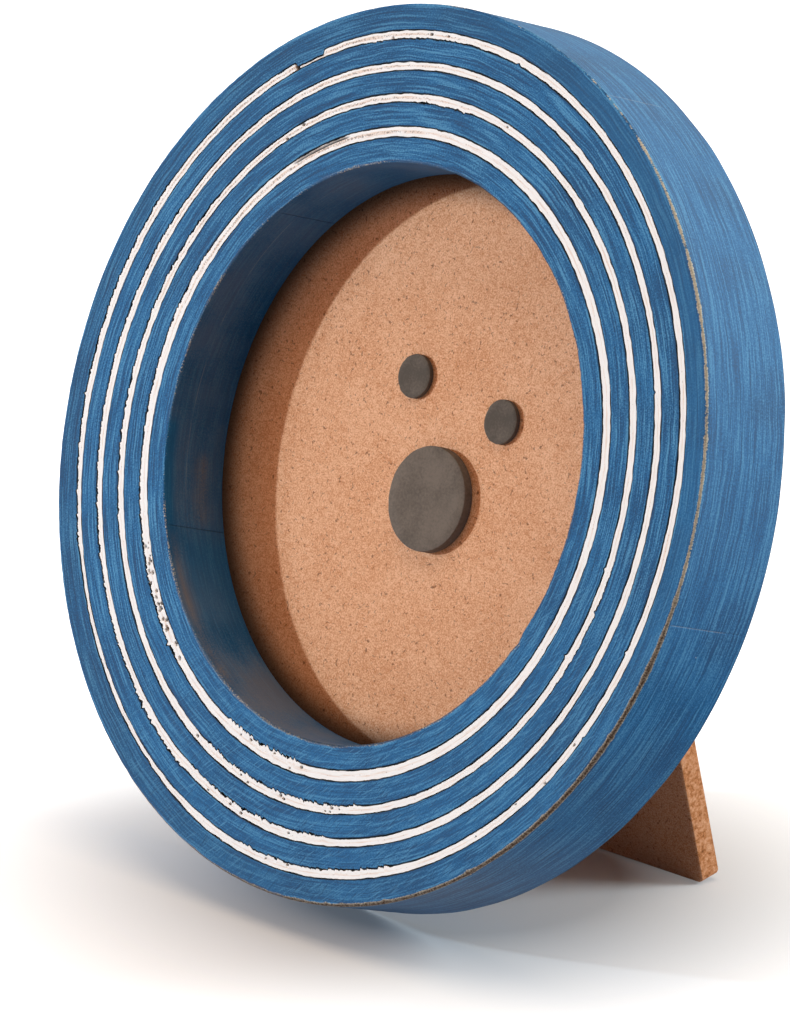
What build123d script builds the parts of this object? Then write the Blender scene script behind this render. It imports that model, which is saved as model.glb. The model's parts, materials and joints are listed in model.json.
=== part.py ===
from build123d import *

import math
import os

# Round photo frame: a turned wooden ring with filled grooves, a magnetic board and a folding strut.
# Millimetres. +Z is up, +X is to the right and +Y to the back, seen from the front.
# The origin is on the table, under the middle of the object.

# Ring
OUTER_RADIUS = 76.2
OPENING_RADIUS = 49.2
RING_DEPTH = 19.3
LEAN = 17.5
SEGMENT_COUNT = 5
FIRST_GLUE_LINE = -10
WORN_ARRIS = 0.8
OPENING_ARRIS = 0.4

# Grooves turned in the front of the ring, and their filling
GROOVE_COUNT = 4
RIM_MARGIN = 5.2
OPENING_MARGIN = 5.2
LAST_STEP_EXTRA = 0.4
GROOVE_WIDTH = 1.5
LAST_GROOVE_WIDTH = 1.9
GROOVE_DEPTH = 1.2
FILLING_SIDE_GAP = 0.18
FILLING_RECESS = 0.1

# Boards in the rabbet at the back of the ring
LEDGE_WIDTH = 6.0
DISPLAY_BOARD_THICKNESS = 2.4
STEEL_THICKNESS = 0.4
BACK_BOARD_THICKNESS = 2.4
BOARD_CLEARANCE = 0.3

# Turn buttons and their screws
BUTTON_RISE = 35
BUTTON_LENGTH = 21.0
BUTTON_WIDTH = 9.0
BUTTON_THICKNESS = 1.2
BUTTON_LAP = 6.0
BUTTON_EDGE = 0.3
SLIDING_GAP = 0.05
SCREW_RADIUS = 1.3
SCREW_DEPTH = 9.0
SCREW_HEAD_RADIUS = 2.8
SCREW_HEAD_HEIGHT = 1.5
SCREW_HEAD_ROUND = 0.7
SCREW_SLOT_WIDTH = 0.8
SCREW_SLOT_DEPTH = 0.7
PILOT_EXTRA_DEPTH = 0.5

# Hinge of the strut
HINGE_HEIGHT = 21.0
HINGE_WIDTH = 36.0
KNUCKLE_COUNT = 5
KNUCKLE_RADIUS = 1.4
KNUCKLE_GAP = 0.2
LEAF_HEIGHT = 14.0
LEAF_THICKNESS = 0.8
LEAF_CORNER = 2.0
LEAF_STANDOFF_GAP = 0.2
PIN_RADIUS = 0.7
PIN_HEAD_RADIUS = 1.2
PIN_HEAD_LENGTH = 0.6
RUNNING_FIT = 0.04

# Rivets of the hinge
RIVET_RADIUS = 1.3
RIVET_HEAD_RADIUS = 2.6
RIVET_HEAD_HEIGHT = 1.0
RIVET_HEAD_ROUND = 0.6
RIVET_TAIL_RADIUS = 2.2
RIVET_TAIL_HEIGHT = 0.7
RIVET_CLEARANCE = 0.05
RIVET_SPACING = 22.0
RIVET_DROP = 8.5

# Strut
OPEN_ANGLE = 28.5
STRUT_THICKNESS = 4.5
STRUT_TOP_WIDTH = 58.0
STRUT_FOOT_WIDTH = 70.5
STRUT_TOP_CORNER = 4.0
STOP_CLEARANCE = 0.05

# Disc magnets on the board: places are right and up of the middle of the board
MAGNET_EDGE = 0.2
LARGE_MAGNET_RADIUS = 9.0
LARGE_MAGNET_THICKNESS = 2.0
LARGE_MAGNET_PLACE = (4.0, -5.7)
SMALL_MAGNET_RADIUS = 3.8
SMALL_MAGNET_THICKNESS = 1.0
SMALL_MAGNET_PLACES = [(-6.3, 13.7), (16.0, 10.1)]

# Sizes that follow from the ones above
SEGMENT_ARC = 360 / SEGMENT_COUNT
RABBET_RADIUS = OPENING_RADIUS + LEDGE_WIDTH
RABBET_DEPTH = DISPLAY_BOARD_THICKNESS + STEEL_THICKNESS + BACK_BOARD_THICKNESS
WELL_DEPTH = RING_DEPTH - RABBET_DEPTH
BOARD_RADIUS = RABBET_RADIUS - BOARD_CLEARANCE
PIVOT_RADIUS = RABBET_RADIUS - BUTTON_LAP + BUTTON_LENGTH - BUTTON_WIDTH / 2
BUTTON_ANGLES = [BUTTON_RISE, 180 - BUTTON_RISE, 180 + BUTTON_RISE, 360 - BUTTON_RISE]
PIN_STANDOFF = KNUCKLE_RADIUS + LEAF_STANDOFF_GAP
KNUCKLE_PITCH = HINGE_WIDTH / KNUCKLE_COUNT
RIVET_PLACES = [(-RIVET_SPACING / 2, -RIVET_DROP), (RIVET_SPACING / 2, -RIVET_DROP)]

# Directions: the ring leans back by lean, the open strut leans forward by strut_lean
lean = math.radians(LEAN)
strut_lean = math.radians(OPEN_ANGLE - LEAN)

# Heights over the table: the back rim of the ring and the front edge of the strut's foot stand on it
ring_centre_z = OUTER_RADIUS * math.cos(lean) + RING_DEPTH * math.sin(lean)
pin_depth = RING_DEPTH + PIN_STANDOFF
pin_z = ring_centre_z + HINGE_HEIGHT * math.cos(lean) - pin_depth * math.sin(lean)
strut_reach = (pin_z + PIN_STANDOFF * math.sin(strut_lean)) / math.cos(strut_lean)

# Reach to the front and to the back of the ring's front centre, which puts the origin in the middle
front_reach = (OUTER_RADIUS - WORN_ARRIS) * math.sin(lean) + WORN_ARRIS * (1 - math.cos(lean))
pin_reach = HINGE_HEIGHT * math.sin(lean) + pin_depth * math.cos(lean)
foot_depth = PIN_STANDOFF + STRUT_THICKNESS
foot_reach = pin_reach + strut_reach * math.sin(strut_lean) + foot_depth * math.cos(strut_lean)
rim_reach = OUTER_RADIUS * math.sin(lean) + RING_DEPTH * math.cos(lean)
ring_centre_y = (front_reach - max(foot_reach, rim_reach)) / 2

# Main planes: x to the right, y up the leaning face, z to the front
front = Plane(
    origin=(0, ring_centre_y, ring_centre_z),
    x_dir=(1, 0, 0),
    z_dir=(0, -math.cos(lean), math.sin(lean)),
)
board_face = front.offset(-WELL_DEPTH)
back = front.offset(-RING_DEPTH)
pin_origin = front.from_local_coords((0, HINGE_HEIGHT, -pin_depth))
strut_plane = Plane(
    origin=pin_origin,
    x_dir=(1, 0, 0),
    z_dir=(0, -math.cos(strut_lean), -math.sin(strut_lean)),
)
# The fixed leaf is the moving leaf turned over: it rises from the pin and lies on the back board.
fixed_leaf_plane = Plane(origin=pin_origin, x_dir=(1, 0, 0), z_dir=-front.z_dir)
ring_axis = Axis(front.origin, front.z_dir)

os.makedirs("parts", exist_ok=True)


def keep(piece, node):
    """Labels a finished piece and writes it under its node's name."""
    piece.part.label = node
    export_step(piece.part, f"parts/{node}.step")


def turned_plane(plane, angle):
    """A plane turned about its own normal."""
    return Plane(plane.location * Location((0, 0, 0), (0, 0, angle)))


def radial_plane(angle):
    """A plane through the ring's axis: x runs outwards, y to the front."""
    spoke = turned_plane(front, angle)
    return Plane(origin=spoke.origin, x_dir=spoke.x_dir, z_dir=-spoke.y_dir)


def groove_sizes():
    """Radius and width of each groove, from the rim inwards: the last step and groove are wider."""
    first_radius = OUTER_RADIUS - RIM_MARGIN
    last_radius = OPENING_RADIUS + OPENING_MARGIN
    step = (first_radius - last_radius - LAST_STEP_EXTRA) / (GROOVE_COUNT - 1)
    sizes = [(first_radius - step * index, GROOVE_WIDTH) for index in range(GROOVE_COUNT - 1)]
    return sizes + [(last_radius, LAST_GROOVE_WIDTH)]


def ring_segment(angle):
    """One glued segment of the ring: grooved front, rabbeted back and pilot holes for the screws."""
    with BuildPart() as segment:
        with BuildSketch(radial_plane(angle)) as section:
            with BuildLine():
                Polyline(
                    (OPENING_RADIUS, 0),
                    (OUTER_RADIUS, 0),
                    (OUTER_RADIUS, -RING_DEPTH),
                    (RABBET_RADIUS, -RING_DEPTH),
                    (RABBET_RADIUS, -WELL_DEPTH),
                    (OPENING_RADIUS, -WELL_DEPTH),
                    close=True,
                )
            make_face()
            front_corners = section.vertices().group_by(Axis.Y)[-1].sort_by(Axis.X)
            fillet(front_corners[-1], WORN_ARRIS)
            fillet(front_corners[0], OPENING_ARRIS)
            for radius, width in groove_sizes():
                with Locations((radius, -GROOVE_DEPTH / 2)):
                    Rectangle(width, GROOVE_DEPTH, mode=Mode.SUBTRACT)
        revolve(axis=ring_axis, revolution_arc=SEGMENT_ARC)
        with BuildSketch(back):
            for button_angle in BUTTON_ANGLES:
                with PolarLocations(PIVOT_RADIUS, 1, start_angle=button_angle):
                    Circle(SCREW_RADIUS + SLIDING_GAP)
        extrude(amount=SCREW_DEPTH + PILOT_EXTRA_DEPTH, mode=Mode.SUBTRACT)
    return segment


def groove_filling(radius, width):
    """White filling of one groove: it lies on the groove's floor, a little below the face."""
    with BuildPart() as filling:
        with BuildSketch(front.offset(-GROOVE_DEPTH)):
            Circle(radius + width / 2 - FILLING_SIDE_GAP)
            Circle(radius - width / 2 + FILLING_SIDE_GAP, mode=Mode.SUBTRACT)
        extrude(amount=GROOVE_DEPTH - FILLING_RECESS)
    return filling


def turn_button(angle):
    """Oblong plate that turns on its screw and laps over the back board."""
    spoke = turned_plane(back.offset(-SLIDING_GAP), angle)
    with BuildPart() as button:
        with BuildSketch(spoke):
            with Locations((RABBET_RADIUS - BUTTON_LAP + BUTTON_LENGTH / 2, 0)):
                SlotOverall(BUTTON_LENGTH, BUTTON_WIDTH)
            with Locations((PIVOT_RADIUS, 0)):
                Circle(SCREW_RADIUS + SLIDING_GAP, mode=Mode.SUBTRACT)
        extrude(amount=-BUTTON_THICKNESS)
        outer_face = button.faces().sort_by(ring_axis)[0]
        chamfer(outer_face.outer_wire().edges(), BUTTON_EDGE)
    return button


def hinge_leaf(plane, first_knuckle):
    """A leaf that hangs from the pin, with every second knuckle and room for the other leaf's."""
    leaf_face = plane.offset(-PIN_STANDOFF)
    with BuildPart() as leaf:
        with BuildSketch(leaf_face) as outline:
            with Locations((0, -LEAF_HEIGHT / 2)):
                Rectangle(HINGE_WIDTH, LEAF_HEIGHT)
            fillet(outline.vertices().group_by(Axis.Y)[0], LEAF_CORNER)
            with Locations(*RIVET_PLACES):
                Circle(RIVET_RADIUS + RIVET_CLEARANCE, mode=Mode.SUBTRACT)
            for index in range(1 - first_knuckle, KNUCKLE_COUNT, 2):
                notch_height = 2 * (KNUCKLE_RADIUS + LEAF_STANDOFF_GAP)
                with Locations((knuckle_middle(index), 0)):
                    Rectangle(KNUCKLE_PITCH + KNUCKLE_GAP, notch_height, mode=Mode.SUBTRACT)
        extrude(amount=LEAF_THICKNESS)
        for index in range(first_knuckle, KNUCKLE_COUNT, 2):
            length = KNUCKLE_PITCH - KNUCKLE_GAP
            with BuildSketch(cross_plane(plane, knuckle_middle(index) - length / 2)):
                Circle(KNUCKLE_RADIUS)
            extrude(amount=length)
        with BuildSketch(cross_plane(plane, -HINGE_WIDTH / 2)):
            Circle(PIN_RADIUS + RUNNING_FIT)
        extrude(amount=HINGE_WIDTH, mode=Mode.SUBTRACT)
    return leaf


def knuckle_middle(index):
    """Place of a knuckle's middle along the pin."""
    return (index + 0.5) * KNUCKLE_PITCH - HINGE_WIDTH / 2


def cross_plane(plane, along):
    """A plane square to the pin, at a place along it."""
    return Plane(
        origin=plane.from_local_coords((along, 0, 0)),
        x_dir=plane.y_dir,
        z_dir=plane.x_dir,
    )


def rivets(head_face, tail_face, places):
    """Rivets with a round head behind head_face and a flat tail in front of tail_face."""
    grip = (tail_face.origin - head_face.origin).dot(head_face.z_dir)
    with BuildPart() as group:
        with BuildSketch(head_face):
            with Locations(*places):
                Circle(RIVET_RADIUS)
        extrude(amount=grip + RIVET_TAIL_HEIGHT)
        with BuildSketch(head_face):
            with Locations(*places):
                Circle(RIVET_HEAD_RADIUS)
        extrude(amount=-RIVET_HEAD_HEIGHT)
        rear_edges = group.edges().group_by(Axis(head_face.origin, head_face.z_dir))[0]
        fillet(rear_edges, RIVET_HEAD_ROUND)
        with BuildSketch(tail_face):
            with Locations(*places):
                Circle(RIVET_TAIL_RADIUS)
        extrude(amount=RIVET_TAIL_HEIGHT)
    return group


def magnet(place, radius, thickness):
    """A disc magnet that lies on the board."""
    with BuildPart() as disc:
        with BuildSketch(board_face):
            with Locations(place):
                Circle(radius)
        extrude(amount=thickness)
        chamfer(disc.edges().group_by(ring_axis)[-1], MAGNET_EDGE)
    return disc


def round_board(face_depth, thickness):
    """A round board that lies in the rabbet, with its front face_depth behind the ring's front."""
    with BuildPart() as board:
        with BuildSketch(front.offset(-face_depth)):
            Circle(BOARD_RADIUS)
        extrude(amount=-thickness)
    return board


# Ring and filled grooves
for number in range(SEGMENT_COUNT):
    keep(ring_segment(FIRST_GLUE_LINE + SEGMENT_ARC * number), f"ring_segment_{number + 1}")
for number, (radius, width) in enumerate(groove_sizes(), start=1):
    keep(groove_filling(radius, width), f"groove_filling_{number}")

# Display board and steel sheet
keep(round_board(WELL_DEPTH, DISPLAY_BOARD_THICKNESS), "display_board")
keep(round_board(WELL_DEPTH + DISPLAY_BOARD_THICKNESS, STEEL_THICKNESS), "steel_sheet")

# Back board: counterbored from inside for the tails of the fixed leaf's rivets
back_board_face = back.offset(BACK_BOARD_THICKNESS)
board_rivet_places = [(x, HINGE_HEIGHT - y) for x, y in RIVET_PLACES]
with BuildPart() as back_board:
    with BuildSketch(back):
        Circle(BOARD_RADIUS)
        with Locations(*board_rivet_places):
            Circle(RIVET_RADIUS + RIVET_CLEARANCE, mode=Mode.SUBTRACT)
    extrude(amount=BACK_BOARD_THICKNESS)
    with BuildSketch(back_board_face):
        with Locations(*board_rivet_places):
            Circle(RIVET_TAIL_RADIUS + RIVET_CLEARANCE)
    extrude(amount=-RIVET_TAIL_HEIGHT, mode=Mode.SUBTRACT)
keep(back_board, "back_board")

# Turn buttons
for number, angle in enumerate(BUTTON_ANGLES, start=1):
    keep(turn_button(angle), f"turn_button_{number}")

# Their screws: round slotted heads that leave the buttons free to turn
head_face = back.offset(-BUTTON_THICKNESS - 2 * SLIDING_GAP)
with BuildPart() as turn_button_screws:
    for angle in BUTTON_ANGLES:
        with BuildSketch(turned_plane(head_face, angle)):
            with Locations((PIVOT_RADIUS, 0)):
                Circle(SCREW_RADIUS)
        extrude(amount=BUTTON_THICKNESS + 2 * SLIDING_GAP + SCREW_DEPTH)
        with BuildSketch(turned_plane(head_face, angle)):
            with Locations((PIVOT_RADIUS, 0)):
                Circle(SCREW_HEAD_RADIUS)
        extrude(amount=-SCREW_HEAD_HEIGHT)
    fillet(turn_button_screws.edges().group_by(ring_axis)[0], SCREW_HEAD_ROUND)
    for angle in BUTTON_ANGLES:
        with BuildSketch(turned_plane(head_face.offset(-SCREW_HEAD_HEIGHT), angle)):
            with Locations((PIVOT_RADIUS, 0)):
                Rectangle(2 * SCREW_HEAD_RADIUS, SCREW_SLOT_WIDTH)
        extrude(amount=SCREW_SLOT_DEPTH, mode=Mode.SUBTRACT)
keep(turn_button_screws, "turn_button_screws")

# Hinge: leaves, and a pin with a head at each end
keep(hinge_leaf(fixed_leaf_plane, 0), "hinge_fixed_leaf")
keep(hinge_leaf(strut_plane, 1), "hinge_moving_leaf")
pin_half = HINGE_WIDTH / 2
with BuildPart() as hinge_pin:
    with BuildSketch(cross_plane(strut_plane, -pin_half)):
        Circle(PIN_RADIUS)
    extrude(amount=HINGE_WIDTH)
    with BuildSketch(cross_plane(strut_plane, -pin_half)):
        Circle(PIN_HEAD_RADIUS)
    extrude(amount=-PIN_HEAD_LENGTH)
    with BuildSketch(cross_plane(strut_plane, pin_half)):
        Circle(PIN_HEAD_RADIUS)
    extrude(amount=PIN_HEAD_LENGTH)
keep(hinge_pin, "hinge_pin")

# Rivets: the fixed leaf's through the back board, the moving leaf's through the strut
keep(
    rivets(
        back.offset(-LEAF_THICKNESS),
        back_board_face.offset(-RIVET_TAIL_HEIGHT),
        board_rivet_places,
    ),
    "fixed_leaf_rivets",
)
keep(
    rivets(
        strut_plane.offset(-PIN_STANDOFF - STRUT_THICKNESS),
        strut_plane.offset(-PIN_STANDOFF + LEAF_THICKNESS),
        RIVET_PLACES,
    ),
    "strut_rivets",
)

# Strut: a tapered board whose top edge stops on the fixed leaf and whose foot stands on the table
opening = math.radians(OPEN_ANGLE)
leaf_surface = PIN_STANDOFF - LEAF_THICKNESS - STOP_CLEARANCE
heel = (PIN_STANDOFF * math.cos(opening) + leaf_surface) / math.sin(opening)
with BuildPart() as strut:
    with BuildSketch(strut_plane.offset(-PIN_STANDOFF)) as strut_outline:
        with BuildLine():
            Polyline(
                (-STRUT_FOOT_WIDTH / 2, -strut_reach),
                (STRUT_FOOT_WIDTH / 2, -strut_reach),
                (STRUT_TOP_WIDTH / 2, heel),
                (-STRUT_TOP_WIDTH / 2, heel),
                close=True,
            )
        make_face()
        fillet(strut_outline.vertices().group_by(Axis.Y)[-1], STRUT_TOP_CORNER)
        with Locations(*RIVET_PLACES):
            Circle(RIVET_RADIUS + RIVET_CLEARANCE, mode=Mode.SUBTRACT)
    extrude(amount=-STRUT_THICKNESS)
keep(strut, "strut")

# Magnets
keep(magnet(LARGE_MAGNET_PLACE, LARGE_MAGNET_RADIUS, LARGE_MAGNET_THICKNESS), "large_magnet")
for number, place in enumerate(SMALL_MAGNET_PLACES, start=1):
    keep(magnet(place, SMALL_MAGNET_RADIUS, SMALL_MAGNET_THICKNESS), f"small_magnet_{number}")
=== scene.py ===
"""Round photo frame: an add-on that builds its visible pieces around the packed part, and a studio."""

import json
import math

import bmesh
import bpy
import numpy as np
from bpy.props import FloatProperty, FloatVectorProperty, PointerProperty
from mathutils import Matrix, Vector


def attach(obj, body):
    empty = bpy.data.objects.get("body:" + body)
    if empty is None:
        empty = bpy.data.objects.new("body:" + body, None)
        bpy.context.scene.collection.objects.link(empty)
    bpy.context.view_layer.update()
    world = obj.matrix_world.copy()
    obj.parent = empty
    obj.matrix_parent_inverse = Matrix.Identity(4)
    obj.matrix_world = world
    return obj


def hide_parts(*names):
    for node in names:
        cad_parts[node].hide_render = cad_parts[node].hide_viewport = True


bl_info = {
    "name": "Round photo frame",
    "version": (1, 0, 0),
    "blender": (4, 5, 0),
    "location": "3D View > Sidebar > Photo frame",
    "description": "Builds the visible pieces of a round photo frame and a plain studio around them",
    "category": "Object",
}

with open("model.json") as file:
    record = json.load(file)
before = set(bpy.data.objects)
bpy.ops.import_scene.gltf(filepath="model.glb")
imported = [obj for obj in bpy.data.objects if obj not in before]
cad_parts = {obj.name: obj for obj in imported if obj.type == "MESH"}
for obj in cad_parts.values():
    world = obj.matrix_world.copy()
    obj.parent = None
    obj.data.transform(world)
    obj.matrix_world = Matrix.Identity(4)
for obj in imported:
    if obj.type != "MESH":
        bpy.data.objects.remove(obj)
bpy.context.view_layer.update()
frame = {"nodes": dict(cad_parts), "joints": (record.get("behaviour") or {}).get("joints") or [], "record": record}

# Lengths in this file are millimetres and angles are degrees, unless a name or a comment says otherwise.
MM = 0.001

# Facts of the packed part
MOUNTS = {mount["name"]: mount for mount in frame["record"]["mounts"]}
JOINTS = {joint["name"]: joint for joint in frame["joints"]}
BODIES = frame["record"]["behaviour"]["bodies"]
BODY_OF = {node: body for body, nodes in BODIES.items() for node in nodes}


def count_of(stem):
    """How many numbered nodes of one kind the part has."""
    return sum(node.startswith(stem) and node[-1].isdigit() for node in BODY_OF)


def placed(origin, y_way, z_way):
    """World matrix of a local frame, from its origin in metres and two of its directions."""
    turn = Matrix((y_way.cross(z_way), y_way, z_way)).transposed()
    return Matrix.Translation(origin) @ turn.to_4x4()


def shifted(place, x=0.0, y=0.0, z=0.0):
    """A local frame moved along its own directions."""
    return place @ Matrix.Translation(Vector((x, y, z)) * MM)


def points_in(place, node):
    """A CAD node's points in a local frame."""
    vertices = frame["nodes"][node].data.vertices
    flat = np.empty(len(vertices) * 3)
    vertices.foreach_get("co", flat)
    inverse = np.array(place.inverted())
    return (flat.reshape(-1, 3) @ inverse[:3, :3].T + inverse[:3, 3]) / MM


def heights_of(place, node):
    """Lowest and highest z of a CAD node in a local frame."""
    heights = points_in(place, node)[:, 2]
    return heights.min(), heights.max()


def radii_of(points):
    """Distance of points from the z axis of their frame."""
    return np.hypot(points[:, 0], points[:, 1])


def middle_of(points):
    """Middle of the box round some points."""
    return (points.min(axis=0) + points.max(axis=0)) / 2


# Frames of the pieces: x to the right, y up the face, z to the front
RIGHT = Vector((1, 0, 0))
FRONT_WAY = Vector(MOUNTS["photo_face"]["axis"]).normalized()
FACE_UP = FRONT_WAY.cross(RIGHT)
BOARD = placed(Vector(MOUNTS["photo_face"]["pos_m"]), FACE_UP, FRONT_WAY)
# Frames of the hinge's two sides, both from the pin: along the strut, and down the back of the frame
PIN = Vector(JOINTS["strut_fold"]["pos_m"])
STRUT_UP = -Vector(MOUNTS["strut_foot"]["axis"]).normalized()
STRUT = placed(PIN, STRUT_UP, RIGHT.cross(STRUT_UP))
FIXED_LEAF = placed(PIN, -FACE_UP, -FRONT_WAY)

# Sizes of the ring, read from its first segment
SEGMENT_POINTS = points_in(BOARD, "ring_segment_1")
WELL_DEPTH = SEGMENT_POINTS[:, 2].max()
RING_BACK = SEGMENT_POINTS[:, 2].min() - WELL_DEPTH
OUTER_RADIUS = radii_of(SEGMENT_POINTS).max()
OPENING_RADIUS = radii_of(SEGMENT_POINTS).min()
RING = shifted(BOARD, z=WELL_DEPTH)
BOARD_RADIUS = radii_of(points_in(BOARD, "display_board")).max()
SEGMENT_COUNT = count_of("ring_segment_")
SEGMENT_ARC = 360 / SEGMENT_COUNT
LINE_COUNT = count_of("groove_filling_")
BUTTON_COUNT = count_of("turn_button_")


def linear(code):
    """Linear red, green and blue of an sRGB hex colour."""
    shares = [int(code[place : place + 2], 16) / 255 for place in (1, 3, 5)]
    return [share / 12.92 if share <= 0.04045 else ((share + 0.055) / 1.055) ** 2.4 for share in shares]


def colour(name, description, code):
    """A colour that a user may change."""
    return FloatVectorProperty(
        name=name, description=description, subtype="COLOR", min=0, max=1, default=linear(code)
    )


def length(name, description, millimetres):
    """A length that a user may change, kept in metres."""
    return FloatProperty(name=name, description=description, unit="LENGTH", default=millimetres * MM)


def bearing(name, description, degrees):
    """An angle that a user may change, kept in radians."""
    return FloatProperty(name=name, description=description, unit="ROTATION", default=math.radians(degrees))


class RingSettings(bpy.types.PropertyGroup):
    """Sizes and colours of the painted ring."""

    arris: length("Outer arris", "Roundness of the front outer edge where it is worn most", 0.75)
    opening_arris: length("Opening arris", "Roundness of the edge round the opening", 0.35)
    back_arris: length("Back arris", "Roundness of the back outer edge", 0.5)
    rabbet: length("Rabbet width", "Step at the back that the boards lie on", 6.0)
    lip: length("Groove lip", "Roundness of the edges of the grooves", 0.07)
    paint: colour("Paint", "Blue paint, as it lies on most of the wood", "#1c6297")
    deep_paint: colour("Deep paint", "Paint where it lies thick", "#0b3861")
    rubbed_paint: colour("Rubbed paint", "Paint that was sanded thin over raised grain", "#5696c2")
    # The groove edge colour is painted shade in the grooves, round the right of the opening, on the back edge and
    # on shaded stretches of the face, and the dark of the glue lines in the bore
    edge: colour("Groove edge", "Dark glue lines, and painted shade in the grooves and on shaded edges and stretches", "#14212c")
    wood: colour("Bare wood", "Wood where the paint has worn off", "#c8c6b8")
    dark_wood: colour("Dark wood", "Stained grain in the bare wood", "#45352a")
    film: colour("Film", "Brown film where hands rub", "#8f7c5c")


class FillingSettings(bpy.types.PropertyGroup):
    """Sizes and colours of the white lines."""

    side_gap: length("Side gap", "Gap between the filling and the wall of its groove", 0.18)
    recess: length("Recess", "How far the filling lies below the face", 0.06)
    pit: length("Pit", "Depth of the deepest pits", 0.7)
    filler: colour("Filler", "White filler", "#f5f8fa")
    stain: colour("Stain", "Pinkish streaks along the middle of a line", "#dfc0aa")
    # The dirt colour is also painted shade on the sides of the fillings
    dirt: colour("Dirt", "Dirt in the pits, and painted shade along the sides", "#2c211a")


class BoardSettings(bpy.types.PropertyGroup):
    """Sizes and colours of the fibreboard."""

    board: colour("Board", "Sanded face of the fibreboard", "#c2855b")
    pale_board: colour("Pale fibres", "Pale fibres of the face", "#eabb98")
    # The dark fibres' colour is also the painted shade of the strut's faces
    dark_board: colour("Dark fibres", "Dark fibres and specks", "#5b3318")
    sawn: colour("Sawn edge", "Sawn edge of the fibreboard", "#bd7d50")
    # Colour of the painted shade in the corner of the well
    dirt: colour("Dirt", "Painted shade in the corner of the well", "#120803")
    strut_edge: length("Strut edge", "Roundness of the strut's edges", 0.5)


class HardwareSettings(bpy.types.PropertyGroup):
    """Sizes and colours of the hinge, its rivets, the turn buttons and their screws."""

    zinc: colour("Zinc", "Zinc plating of the hinge, rivets, turn buttons and steel sheet", "#b9bbb8")
    brass: colour("Brass", "Brass of the screws", "#b9924e")
    tarnish: colour("Tarnish", "Dull film on the metals", "#6b6459")
    edge: length("Edge", "Roundness of the edges of stamped sheet", 0.25)
    slot_width: length("Slot width", "Width of the slot of a screw", 0.8)
    slot_depth: length("Slot depth", "Depth of the slot of a screw", 0.7)


class MagnetSettings(bpy.types.PropertyGroup):
    """Sizes and colours of the disc magnets."""

    edge: length("Edge", "Chamfer round the faces", 0.2)
    ferrite: colour("Ferrite", "Pressed and sintered ferrite", "#4f4841")
    grains: colour("Grains", "Pale grains in its face", "#6f655c")


class StageSettings(bpy.types.PropertyGroup):
    """Camera and light of the studio."""

    azimuth: bearing("Azimuth", "How far right of the front the camera stands", 47.1)
    elevation: bearing("Elevation", "How steeply the camera looks down", 16)
    distance: length("Distance", "From the camera to the middle of the ring's face", 1080.2)
    aim_right: length("Aim right", "How far right of the ring's middle the camera stands", 4.72)
    aim_up: length("Aim up", "How far above the ring's middle the camera stands", -9.95)
    lens: FloatProperty(
        name="Lens", description="Focal length on a 36 mm high picture", unit="CAMERA", default=226.4
    )
    floor: colour("Floor", "White table", "#bcbec2")
    bounce: colour("Bounce", "Light that the table gives back to the object", "#ccc8cc")
    key: colour("Key light", "Two small lamps low on the left", "#dcf2ff")
    fill: colour("Fill light", "Warm light from the room", "#ffb06a")
    top: colour("Top light", "Broad soft light overhead", "#ffe6cc")
    side: colour("Side light", "Broad soft light on the right", "#effcff")


# Unevenness of hand work, all from fixed seeds


def wander(angles, step, seed):
    """Smooth unevenness round the ring, from -1 to 1, that changes every step degrees."""
    count = round(360 / step)
    heights = np.random.default_rng(seed).uniform(-1, 1, count)
    place = np.asarray(angles) * count / 360
    index = np.floor(place).astype(int)
    share = place - index
    ease = share * share * (3 - 2 * share)
    return heights[index % count] * (1 - ease) + heights[(index + 1) % count] * ease


def teeth(angles, step, seed):
    """Torn grain round the ring, from 0 to 1: each tooth starts steeply and runs out."""
    count = round(360 / step)
    heights = np.random.default_rng(seed).uniform(0, 1, count)
    place = np.asarray(angles) * count / 360 + 0.4 * wander(angles, step * 2, seed + 1)
    index = np.floor(place).astype(int)
    return heights[index % count] * (1 - (place - index)) ** 0.7


def off_by(angles, angle):
    """Signed degrees from one ring angle to others, the short way round."""
    return (np.asarray(angles) - angle + 180) % 360 - 180


def window(angles, start, end, fade=2.0):
    """1 between two ring angles and 0 away from them."""
    away = np.abs(off_by(angles, (start + end) / 2))
    return np.clip(((end - start) / 2 - away) / fade + 0.5, 0, 1)


def bump_at(angles, angle, radius, width):
    """Soft bump of height 1 and a width in millimetres, at one angle of a circle."""
    return np.exp(-((np.radians(off_by(angles, angle)) * radius / width) ** 2))


# Meshes

# A sweep of more degrees than this comes round again
NEARLY_ROUND = 359.9
# Faces that meet at less than this are shaded as one smooth surface
SMOOTH_ANGLE = 40
# Points nearer than this are one point
JOIN_DISTANCE = 0.002


def grid_faces(columns, rows, closed_columns, closed_rows):
    """Quads of a grid of points that may close on itself either way."""
    first = np.arange(columns if closed_columns else columns - 1)
    second = np.arange(rows if closed_rows else rows - 1)
    column, row = np.meshgrid(first, second, indexing="ij")
    next_column = (column + 1) % columns
    next_row = (row + 1) % rows
    corners = (
        column * rows + row, column * rows + next_row, next_column * rows + next_row, next_column * rows + row
    )
    return np.stack(corners, axis=-1).reshape(-1, 4).tolist()


def add_faces(shape, points, faces):
    """Adds points and their faces to a bmesh."""
    made = [shape.verts.new(Vector(point) * MM) for point in points]
    for face in faces:
        shape.faces.new([made[index] for index in face])


def add_layer(mesh, layer, values):
    """Keeps a number for each point of a mesh, for its material."""
    mesh.attributes.new(layer, "FLOAT", "POINT").data.foreach_set("value", values)


def row(radius, height, **marks):
    """One line of a swept section: a radius and a height along the angles, and marks for named layers."""
    return radius, height, marks


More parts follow.
